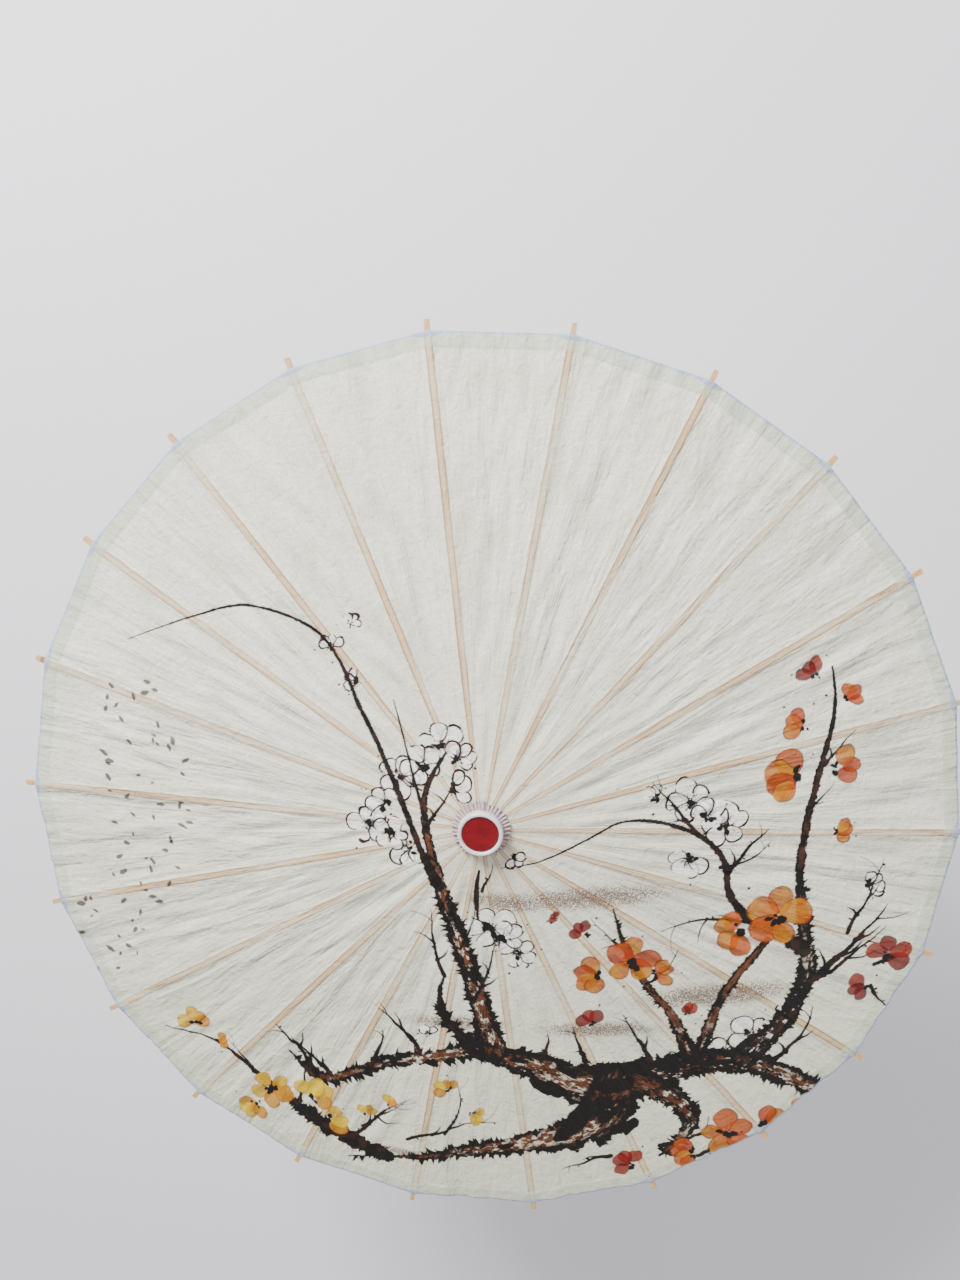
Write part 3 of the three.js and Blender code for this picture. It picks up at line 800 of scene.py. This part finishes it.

    # the sheet itself, then what lies over it, from the painted shade of the lower (-Y) side up to the blue
    # edging
    base = addNode(m, "ValToRGB", {"stops": [(0.3, "#d1d1c0"), (0.5, "#dddccd"), (0.72, "#e6e4d7")]},
                   {"Fac": cloud})
    fibreTone = addNode(m, "ValToRGB", {"stops": [(0.32, "#d6d3c4"), (0.55, "#ffffff")]}, {"Fac": fibre})
    sheet = addNode(m, "Mix", {"data_type": "RGBA", "blend_type": "MULTIPLY", 0: 0.6},
                    {6: base.outputs["Color"], 7: fibreTone.outputs["Color"]}).outputs[2]
    paint = addNode(m, "Attribute", {"attribute_name": "paint"}, {}).outputs
    for share, tone in (
        ("hubWarmth", "#d0c4ae"), ("oil", "#c8c6ae"), ("shade", "#b5b6ad"), ("band", "#c7ab87"),
        ("line", "#92724a"), ("fold", "#b9b7aa"), ("hem", "#b4bda8"), ("speck", "#5d423c"), ("paint", None),
        ("edging", "#98a5c0"),
    ):
        if share == "paint":
            sheet = addNode(m, "Mix", {"data_type": "RGBA"},
                            {0: paint["Alpha"], 6: sheet, 7: paint["Color"]}).outputs[2]
        else:
            sheet = addNode(m, "Mix", {"data_type": "RGBA", 7: rgba(tone)},
                            {0: soft[share], 6: sheet}).outputs[2]
    m.node_tree.links.new(sheet, paperShader.inputs["Base Color"])
    m.node_tree.links.new(soft["gloss"], paperShader.inputs["Roughness"])

    lowPleats = addNode(m, "Math", {"operation": "MULTIPLY", 1: 0.25}, {0: pleats}).outputs[0]
    height = addNode(m, "Math", {"operation": "ADD"}, {0: streaks, 1: lowPleats}).outputs[0]
    height = addNode(m, "Math", {"operation": "MULTIPLY"}, {0: height, 1: soft["looseness"]}).outputs[0]
    bump = addNode(m, "Bump", {"Strength": 1, "Distance": 4.5 * mm}, {"Height": height}).outputs[0]
    for relief, strength, depth in ((puckers, 1, 1.1 * mm), (fibre, 0.4, 0.08 * mm)):
        bump = addNode(m, "Bump", {"Strength": strength, "Distance": depth},
                       {"Height": relief, "Normal": bump}).outputs[0]
    m.node_tree.links.new(bump, paperShader.inputs["Normal"])


buildPaperFinish()

# Pleated crepe strip round the neck: greyish pink, with painted shade darkening the pleat valleys
frillFinish, frillShader = newFinish("pleatedCrepePaper", {"Roughness": 0.7, "Specular IOR Level": 0.2})
frillPlace = addNode(frillFinish, "TexCoord", {}, {}).outputs["Object"]
frillNoise = addNode(frillFinish, "TexNoise", {"Scale": 1 / 0.0007, "Detail": 4}, {"Vector": frillPlace})
frillTone = addNode(frillFinish, "ValToRGB",
                    {"stops": [(0.3, "#927d7e"), (0.5, "#ad9a9b"), (0.7, "#cabdbb")]},
                    {"Fac": frillNoise.outputs["Fac"]})
frillValley = addNode(frillFinish, "Attribute", {"attribute_name": "valley"}, {}).outputs["Fac"]
# painted shade in the pleat valleys
frillShade = addNode(frillFinish, "MapRange", {
    "interpolation_type": "SMOOTHSTEP", "From Min": 0.35, "From Max": 0.9, "To Min": 0, "To Max": 0.7},
    {"Value": frillValley}).outputs[0]
frillFold = addNode(frillFinish, "Mix", {"data_type": "RGBA", 7: rgba("#6a5356")},
                    {0: frillShade, 6: frillTone.outputs["Color"]}).outputs[2]
frillFinish.node_tree.links.new(frillFold, frillShader.inputs["Base Color"])
frillBump = addNode(frillFinish, "Bump", {"Strength": 0.5, "Distance": 0.15 * mm},
                    {"Height": frillNoise.outputs["Fac"]})
frillFinish.node_tree.links.new(frillBump.outputs[0], frillShader.inputs["Normal"])

frill = {
    "innerRadius": 18.6 * mm,
    "outerRadius": 24.9 * mm,
    "innerLift": 5.6 * mm,
    "outerLift": 2.6 * mm,
    "pleats": 40,
    "pleatHeight": 1.2 * mm,
    "thickness": 0.22 * mm,
    "rows": 7,
    "perPleat": 8,  # points round each pleat
}


def buildFrill():
    tear = np.random.default_rng(5)
    around = frill["pleats"] * frill["perPleat"]
    lean = np.repeat(tear.uniform(-0.45, 0.45, frill["pleats"]), frill["perPleat"])
    cut = np.repeat(tear.uniform(-1.3, 0.6, frill["pleats"]), frill["perPleat"]) * mm
    turn = (np.arange(around) + lean * frill["perPleat"] * 0.5) / around * 2 * math.pi
    phase = np.arange(around) / frill["perPleat"] % 1
    zigzag = 1 - np.abs(2 * phase - 1) * 2  # -1 in a valley, +1 on a ridge
    vertices, faces, valley = [], [], []
    for row in range(frill["rows"]):
        t = row / (frill["rows"] - 1)
        radius = frill["innerRadius"] + (frill["outerRadius"] - frill["innerRadius"]) * t
        radius = radius + t**2 * (cut + zigzag * 0.8 * mm)
        lift = frill["innerLift"] + (frill["outerLift"] - frill["innerLift"]) * t**1.3
        height = pivotHeight + lift + zigzag * frill["pleatHeight"] * (0.2 + 0.5 * t)
        vertices += np.stack([radius * np.cos(turn), radius * np.sin(turn), height], 1).tolist()
        valley += (0.5 - 0.5 * zigzag).tolist()
    for row in range(frill["rows"] - 1):
        for k in range(around):
            a, b = row * around + k, row * around + (k + 1) % around
            faces.append((a, a + around, b + around, b))
    mesh = bpy.data.meshes.new("paperFrill")
    mesh.from_pydata(vertices, [], faces)
    mesh.attributes.new("valley", "FLOAT", "POINT").data.foreach_set("value", valley)
    piece = newPiece("paperFrill", mesh, frillFinish)
    applyModifier(piece, "SOLIDIFY", {"thickness": frill["thickness"], "offset": 0})
    bpy.ops.object.shade_smooth_by_angle(angle=crispAngle)
    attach(piece, "shaft")
    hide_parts("paper_collar")
    return piece


paperFrill = buildFrill()

innerRows = np.concatenate([np.array([19, 20.5, 22.5, 25]) * mm,
                            np.arange(28 * mm, paperRadius - paper["hem"] - 3 * mm, paper["rowStep"])])
hemRows = paperRadius - np.array([14.2, 13.4, 12.6, 10, 7, 4, 2.4, 1.6, 0.8, 0]) * mm
goreRows = np.concatenate([innerRows, hemRows])
for rib, body in enumerate(ribBodies):
    builder = sheetGrid(goreRows)
    for mask in planMasks[: paper["fineSteps"]]:
        inked = [edge for edge in builder.edges
                 if edge.calc_length() > paper["finestEdge"] and painted(edge, rib, mask)]
        bmesh.ops.subdivide_edges(builder, edges=inked, cuts=1, use_grid_fill=True)
    gore = finishSheet("paperGore_" + body[-2:], builder, rib)
    squashWithRib(gore, rib)
    if rib == 0:
        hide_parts("canopy_paper")
goreTriangles = [sum(len(face.vertices) - 2 for face in o.data.polygons) for o in bpy.data.objects
                 if o.name.startswith("paperGore")]
print("paper built, triangles:", max(goreTriangles), "in the finest gore,", sum(goreTriangles), "in all")


# Twisted cotton thread: matt, off-white, its two plies laid round each other
threadFinish, threadShader = newFinish("twistedCottonThread", {"Roughness": 0.9, "Sheen Weight": 0.3})
threadPlace = addNode(threadFinish, "TexCoord", {}, {}).outputs["Object"]
threadNoise = addNode(threadFinish, "TexNoise", {"Scale": 1 / 0.0006, "Detail": 3}, {"Vector": threadPlace})
threadTone = addNode(threadFinish, "ValToRGB", {"stops": [(0.3, "#a99d8b"), (0.6, "#ddd3c0")]},
                     {"Fac": threadNoise.outputs["Fac"]})
threadFinish.node_tree.links.new(threadTone.outputs["Color"], threadShader.inputs["Base Color"])
threadBump = addNode(threadFinish, "Bump", {"Strength": 0.6, "Distance": 0.08 * mm},
                     {"Height": threadNoise.outputs["Fac"]})
threadFinish.node_tree.links.new(threadBump.outputs[0], threadShader.inputs["Normal"])

thread = {"pitch": 3.2 * mm, "step": 1.1 * mm, "sides": 5, "rimRadius": 404 * mm}


def twistedThread(name, corners, radius, closed=False):
    # two plies wound round the line through the corners
    corners = np.array(corners, float)
    if closed:
        corners = np.vstack([corners, corners[:1]])
    lengths = np.concatenate([[0], np.cumsum(np.linalg.norm(np.diff(corners, axis=0), axis=1))])
    count = max(6, int(lengths[-1] / thread["step"]))
    places = np.linspace(0, lengths[-1], count + 1)[: count if closed else None]
    centres = np.stack([np.interp(places, lengths, corners[:, axis]) for axis in range(3)], 1)
    ahead = np.roll(centres, -1, 0) - np.roll(centres, 1, 0)
    if not closed:
        ahead[0], ahead[-1] = centres[1] - centres[0], centres[-1] - centres[-2]
    ahead /= np.linalg.norm(ahead, axis=1)[:, None]
    out = np.cross(ahead, (0, 0, 1))
    out /= np.linalg.norm(out, axis=1)[:, None]
    up = np.cross(out, ahead)
    turns = max(1, round(lengths[-1] / thread["pitch"]))
    vertices, faces = [], []
    sides, n = thread["sides"], len(centres)
    for ply in range(2):
        turn = 2 * np.pi * turns * places / lengths[-1] + ply * np.pi
        middle = centres + radius * 0.5 * (np.cos(turn)[:, None] * out + np.sin(turn)[:, None] * up)
        first = len(vertices)
        for k in range(n):
            for j in range(sides):
                a = 2 * np.pi * j / sides
                vertices.append(middle[k] + radius * 0.52 * (math.cos(a) * out[k] + math.sin(a) * up[k]))
        for k in range(n if closed else n - 1):
            for j in range(sides):
                a, b = first + k * sides, first + (k + 1) % n * sides
                faces.append((a + j, a + (j + 1) % sides, b + (j + 1) % sides, b + j))
        if not closed:
            faces.append(tuple(first + j for j in reversed(range(sides))))
            faces.append(tuple(first + (n - 1) * sides + j for j in range(sides)))
    mesh = bpy.data.meshes.new(name)
    mesh.from_pydata([tuple(v) for v in vertices], [], faces)
    piece = newPiece(name, mesh, threadFinish)
    bpy.ops.object.mode_set(mode="EDIT")
    bpy.ops.mesh.select_all(action="SELECT")
    bpy.ops.mesh.normals_make_consistent(inside=False)
    bpy.ops.object.mode_set(mode="OBJECT")
    return piece


for label, node, radius in (("jointThread_", "joint_thread", strutPivot[0]),
                            ("rimThread_", "rim_thread", thread["rimRadius"])):
    low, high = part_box(node)
    half = radius * math.sin(ribStep) / 2
    inward = half * math.tan(ribStep / 2)
    height = (low.z + high.z) / 2
    for rib, body in enumerate(ribBodies):
        line = [(*planPlaces(x, y, rib), height) for x, y in ((radius - inward, -half), (radius, 0),
                                                              (radius - inward, half))]
        strand = twistedThread(label + body[-2:], line, (high.z - low.z) / 2)
        squashWithRib(strand, rib)
        if rib == 0:
            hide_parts(node)
for name, node, body in (("hubThread", "hub_thread", "shaft"), ("runnerThread", "runner_thread", "runner")):
    low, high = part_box(node)
    radius = (high.z - low.z) / 2
    ringRadius = high.x - radius
    ring = [(ringRadius * math.cos(a), ringRadius * math.sin(a), (low.z + high.z) / 2)
            for a in np.arange(44) / 44 * 2 * math.pi]
    strand = twistedThread(name, ring, radius, closed=True)
    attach(strand, body)
    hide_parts(node)
print("threads laid")


# Turned pieces, drawn out ring by ring from a circle
def turnedPiece(name, profile, finish, closed, bevel):
    # profile gives radius and height in millimetres; a closed one is a tube, any other is solid
    bpy.ops.object.select_all(action="DESELECT")
    radius, height = profile[0][0] * mm, profile[0][1] * mm
    bpy.ops.mesh.primitive_circle_add(vertices=96, radius=radius, location=(0, 0, height),
                                      fill_type="NOTHING" if closed else "NGON")
    piece = bpy.context.object
    piece.name = name
    bpy.ops.object.transform_apply(location=True)
    bpy.ops.object.mode_set(mode="EDIT")
    bpy.ops.mesh.select_all(action="SELECT")
    for nextRadius, nextHeight in profile[1:]:
        share, rise = nextRadius * mm / radius, nextHeight * mm - height
        bpy.ops.mesh.extrude_region_move(TRANSFORM_OT_translate={"value": (0, 0, rise)})
        bpy.ops.transform.resize(value=(share, share, 1), center_override=(0, 0, nextHeight * mm))
        radius, height = nextRadius * mm, nextHeight * mm
    if closed:
        bpy.ops.mesh.select_all(action="DESELECT")
        bpy.ops.mesh.select_non_manifold()
        bpy.ops.mesh.bridge_edge_loops()
    bpy.ops.mesh.select_all(action="SELECT")
    bpy.ops.mesh.normals_make_consistent(inside=False)
    bpy.ops.object.mode_set(mode="OBJECT")
    if bevel:
        applyModifier(piece, "BEVEL", {"width": bevel, "segments": 3, "limit_method": "ANGLE",
                                       "angle_limit": math.radians(40)})
    bpy.ops.object.shade_smooth_by_angle(angle=crispAngle)
    piece.data.materials.append(finish)
    return piece


def rampedFinish(name, settings, tones, size, bumpDepth, roughness, stretch=(1, 1, 1), distortion=0.0):
    # a noise of the given grain size in metres tints, roughens and dents the surface
    material, shader = newFinish(name, settings)
    place = addNode(material, "TexCoord", {}, {}).outputs["Object"]
    spread = addNode(material, "Mapping", {"Scale": stretch}, {"Vector": place}).outputs[0]
    grain = addNode(material, "TexNoise", {"Scale": 1 / size, "Detail": 6, "Roughness": 0.6,
                                           "Distortion": distortion}, {"Vector": spread}).outputs["Fac"]
    tone = addNode(material, "ValToRGB", {"stops": tones}, {"Fac": grain}).outputs["Color"]
    material.node_tree.links.new(tone, shader.inputs["Base Color"])
    rough = addNode(material, "MapRange", {
        "interpolation_type": "SMOOTHSTEP", "From Min": 0.3, "From Max": 0.7, "To Min": roughness[0],
        "To Max": roughness[1]}, {"Value": grain}).outputs[0]
    material.node_tree.links.new(rough, shader.inputs["Roughness"])
    bump = addNode(material, "Bump", {"Strength": 0.6, "Distance": bumpDepth}, {"Height": grain}).outputs[0]
    material.node_tree.links.new(bump, shader.inputs["Normal"])
    return material, shader, tone, bump


# Moulded polystyrene head ring: glossy white with a pink-grey cast and fine handling marks
hubTop = pivotHeight / mm
headRing = {
    "finish": rampedFinish("glossyWhitePolystyrene",
                           {"IOR": 1.55, "Coat Weight": 0.3, "Coat Roughness": 0.08},
                           [(0.25, "#c3b8bf"), (0.5, "#d4ccd1"), (0.75, "#e4dfe2")], 11 * mm, 0.08 * mm,
                           roughness=(0.16, 0.34))[0],
    "profile": [(17.4, 6), (18.8, 6), (19.2, 6.5), (19.28, 9), (19.25, 12.5), (19.05, 13.9), (18.55, 14.7),
                (17.7, 14.98), (16.9, 14.85), (16.25, 14.35), (15.85, 13.6), (15.75, 12.9), (17.4, 12.8)],
    "base": hubTop, "closed": True, "bevel": 0, "replaces": "head_ring", "slot": "white_plastic",
}
# Red nitro lacquer over the disc: deep and glossy, with slow darker clouds
headDisc = {
    "finish": rampedFinish("redNitroLacquer",
                           {"Specular IOR Level": 0.3, "Coat Weight": 0.2, "Coat Roughness": 0.08},
                           [(0.25, "#4c0009"), (0.5, "#68000d"), (0.75, "#790410")], 12 * mm, 0.1 * mm,
                           roughness=(0.2, 0.34))[0],
    "profile": [(15.6, 12.75), (15.6, 13.1), (15.2, 13.42), (12.5, 13.66), (9.5, 13.82), (6, 13.92),
                (3, 13.97), (0.8, 13.99)],
    "base": hubTop, "closed": False, "bevel": 0, "replaces": "head_disc", "slot": "red_lacquer",
}
# Stained and varnished beech, turned: dark brown with fine drawn-out pores
gripFinish = rampedFinish("stainedTurnedBeech", {"Coat Weight": 0.5, "Coat Roughness": 0.15},
                          [(0.3, "#2b150b"), (0.5, "#4c2714"), (0.75, "#6e3d20")], 1.6 * mm, 0.05 * mm,
                          stretch=(1, 1, 0.07), roughness=(0.28, 0.45), distortion=0.3)[0]
turnedGrip = {
    "finish": gripFinish,
    "profile": [(6.8, 4), (8.9, 4), (9.3, 4.6), (9.9, 9), (10.5, 15.6), (10.2, 16.2), (10.2, 17),
                (10.62, 17.6), (10.8, 26), (10.88, 35), (10.7, 46), (10.3, 60), (9.8, 72), (9.3, 82),
                (9.05, 87.4), (8.6, 88), (8.6, 89), (9.05, 89.6), (9.1, 92), (8.6, 92.6), (8.6, 93.6),
                (9.1, 94.2), (9.2, 97), (9.75, 100.6), (9.98, 103), (9.98, 106), (9.6, 109), (8.9, 111.4),
                (8.3, 112), (6.8, 112)],
    "base": 0, "closed": True, "bevel": 0.15 * mm, "replaces": "grip", "slot": "dark_wood",
}
gripCap = {
    "finish": gripFinish,
    "profile": [(7.4, 0), (8.4, 0.15), (9.1, 0.6), (9.4, 1.3), (9.45, 2.4), (9.3, 3.2), (9.0, 3.65)],
    "base": 0, "closed": False, "bevel": 0, "replaces": "grip_cap", "slot": "dark_wood",
}
for name, shape in (("headRing", headRing), ("headDisc", headDisc), ("turnedGrip", turnedGrip),
                    ("gripCap", gripCap)):
    turned = turnedPiece(name, [(r, shape["base"] + z) for r, z in shape["profile"]], shape["finish"],
                         shape["closed"], shape["bevel"])
    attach(turned, "shaft")
    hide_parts(shape["replaces"])
print("head and grip turned")

# Turned schima wood for hub and runner: warm, fine-pored, under clear varnish
hubFinish = rampedFinish("varnishedTurnedWood", {"Coat Weight": 0.35, "Coat Roughness": 0.2},
                         [(0.3, "#8a5a33"), (0.5, "#b98652"), (0.72, "#d0a26d")], 2.4 * mm, 0.06 * mm,
                         stretch=(1, 1, 0.08), roughness=(0.35, 0.5), distortion=0.4)[0]


stick = {"nodeSpacing": 128 * mm, "nodeTone": "#4f3118", "nodeRidge": 0.4 * mm}


def buildShaftFinish():
    # Peeled and oiled bamboo stick: honey-coloured, long fibres, a darker ring at each node
    material, shader, tone, bump = rampedFinish(
        "oiledBambooStick", {"Coat Weight": 0.25, "Coat Roughness": 0.2},
        [(0.3, "#9a6c3a"), (0.5, "#bd9058"), (0.72, "#d3ac75")], 1.4 * mm, 0.05 * mm, stretch=(1, 1, 0.03),
        roughness=(0.38, 0.55))
    place = addNode(material, "TexCoord", {}, {}).outputs["Object"]
    height = addNode(material, "SeparateXYZ", {}, {"Vector": place}).outputs["Z"]
    spans = addNode(material, "Math", {"operation": "DIVIDE", 1: stick["nodeSpacing"]}, {0: height})
    spans = spans.outputs[0]
    within = addNode(material, "Math", {"operation": "FRACT"}, {0: spans}).outputs[0]
    off = addNode(material, "Math", {"operation": "SUBTRACT", 1: 0.5}, {0: within}).outputs[0]
    offNode = addNode(material, "Math", {"operation": "ABSOLUTE"}, {0: off}).outputs[0]
    ring = addNode(material, "MapRange", {
        "interpolation_type": "SMOOTHSTEP", "From Min": 0.014, "From Max": 0.004, "To Min": 0, "To Max": 0.8},
        {"Value": offNode}).outputs[0]
    tone = addNode(material, "Mix", {"data_type": "RGBA", 7: rgba(stick["nodeTone"])},
                   {0: ring, 6: tone}).outputs[2]
    material.node_tree.links.new(tone, shader.inputs["Base Color"])
    ridge = addNode(material, "Bump", {"Strength": 0.8, "Distance": stick["nodeRidge"]},
                    {"Height": ring, "Normal": bump})
    material.node_tree.links.new(ridge.outputs[0], shader.inputs["Normal"])
    return material


split = {"fibreLength": 30 * mm, "fibreWidth": 0.45 * mm, "fibreDepth": 0.6 * mm,
         "toneLength": 90 * mm, "nodeSpacing": 230 * mm}


def buildBambooFinish():
    # Split bamboo, scraped: straw-coloured, with fibres along each rib and a node line on some.
    # The pattern is laid along and across the nearest rib's direction.
    material, shader = newFinish("splitBamboo", {"Roughness": 0.5, "Specular IOR Level": 0.3})
    place = addNode(material, "TexCoord", {}, {}).outputs["Object"]
    axes = addNode(material, "SeparateXYZ", {}, {"Vector": place}).outputs
    flat = addNode(material, "CombineXYZ", {}, {"X": axes["X"], "Y": axes["Y"]}).outputs[0]
    away = addNode(material, "VectorMath", {"operation": "LENGTH"}, {0: flat}).outputs["Value"]
    worked = {"x": axes["X"], "y": axes["Y"], "z": axes["Z"], "away": away}
    # each sum has a name, an operation, and two terms that are earlier names or numbers
    for name, operation, *terms in (
        ("direction", "ARCTAN2", "y", "x"), ("turn", "DIVIDE", "direction", ribStep),
        ("nearest", "ROUND", "turn"), ("offTurn", "SUBTRACT", "turn", "nearest"),
        ("offAngle", "MULTIPLY", "offTurn", ribStep), ("across", "MULTIPLY", "offAngle", "away"),
        ("number", "FLOORED_MODULO", "nearest", ribCount),
        ("fibreRun", "DIVIDE", "away", split["fibreLength"]), ("fibreShift", "MULTIPLY", "number", 7.3),
        ("fibreX", "ADD", "fibreRun", "fibreShift"), ("fibreY", "DIVIDE", "across", split["fibreWidth"]),
        ("fibreZ", "DIVIDE", "z", split["fibreDepth"]), ("toneX", "DIVIDE", "away", split["toneLength"]),
        ("toneY", "MULTIPLY", "number", 3.7), ("spans", "DIVIDE", "away", split["nodeSpacing"]),
        ("spanShift", "MULTIPLY", "number", 0.37), ("spot", "ADD", "spans", "spanShift"),
        ("within", "FRACT", "spot"), ("off", "SUBTRACT", "within", 0.5), ("offNode", "ABSOLUTE", "off"),
    ):
        settings = {socket: term for socket, term in enumerate(terms) if not isinstance(term, str)}
        links = {socket: worked[term] for socket, term in enumerate(terms) if isinstance(term, str)}
        worked[name] = addNode(material, "Math", {"operation": operation, **settings}, links).outputs[0]
    fibreSpot = addNode(material, "CombineXYZ", {}, {"X": worked["fibreX"], "Y": worked["fibreY"],
                                                     "Z": worked["fibreZ"]}).outputs[0]
    toneSpot = addNode(material, "CombineXYZ", {}, {"X": worked["toneX"], "Y": worked["toneY"]}).outputs[0]
    fibre = addNode(material, "TexNoise", {"Scale": 1, "Detail": 3}, {"Vector": fibreSpot}).outputs["Fac"]
    slow = addNode(material, "TexNoise", {"Scale": 1, "Detail": 2}, {"Vector": toneSpot}).outputs["Fac"]
    tone = addNode(material, "ValToRGB", {"stops": [(0.3, "#9c7042"), (0.48, "#c79c66"), (0.7, "#dcb987")]},
                   {"Fac": fibre}).outputs["Color"]
    soft = {}
    for name, value, start, end, low, high in (("pale", slow, 0.4, 0.7, 0, 0.45),
                                               ("node", worked["offNode"], 0.012, 0.003, 0, 0.7),
                                               ("rough", fibre, 0.3, 0.7, 0.42, 0.62)):
        soft[name] = addNode(material, "MapRange", {
            "interpolation_type": "SMOOTHSTEP", "From Min": start, "From Max": end, "To Min": low,
            "To Max": high}, {"Value": value}).outputs[0]
    for share, colour in (("pale", "#c9a98a"), ("node", "#6d4a29")):
        tone = addNode(material, "Mix", {"data_type": "RGBA", 7: rgba(colour)},
                       {0: soft[share], 6: tone}).outputs[2]
    material.node_tree.links.new(tone, shader.inputs["Base Color"])
    material.node_tree.links.new(soft["rough"], shader.inputs["Roughness"])
    bump = addNode(material, "Bump", {"Strength": 0.5, "Distance": 0.12 * mm}, {"Height": fibre}).outputs[0]
    material.node_tree.links.new(bump, shader.inputs["Normal"])
    return material


# Cold-rolled spring strip: bright grey, brushed lengthwise
steelFinish = rampedFinish("brushedSpringSteel", {"Metallic": 1.0},
                           [(0.3, "#8d8e90"), (0.7, "#c3c4c6")], 0.9 * mm, 0.02 * mm,
                           stretch=(1, 1, 0.05), roughness=(0.25, 0.42))[0]
shaftFinish = buildShaftFinish()
bambooFinish = buildBambooFinish()
nodeFinishes = {"shaft": shaftFinish, "hub": hubFinish, "runner": hubFinish, "hub_pin": bambooFinish,
                "runner_catch": steelFinish, "catch_pin": steelFinish}
for name, node in frame["nodes"].items():
    finish = bambooFinish if name.startswith(("rib_", "strut_")) else nodeFinishes.get(name)
    if finish:
        for place in node.material_slots:
            place.material = finish
print("finishes on the carried-over pieces")
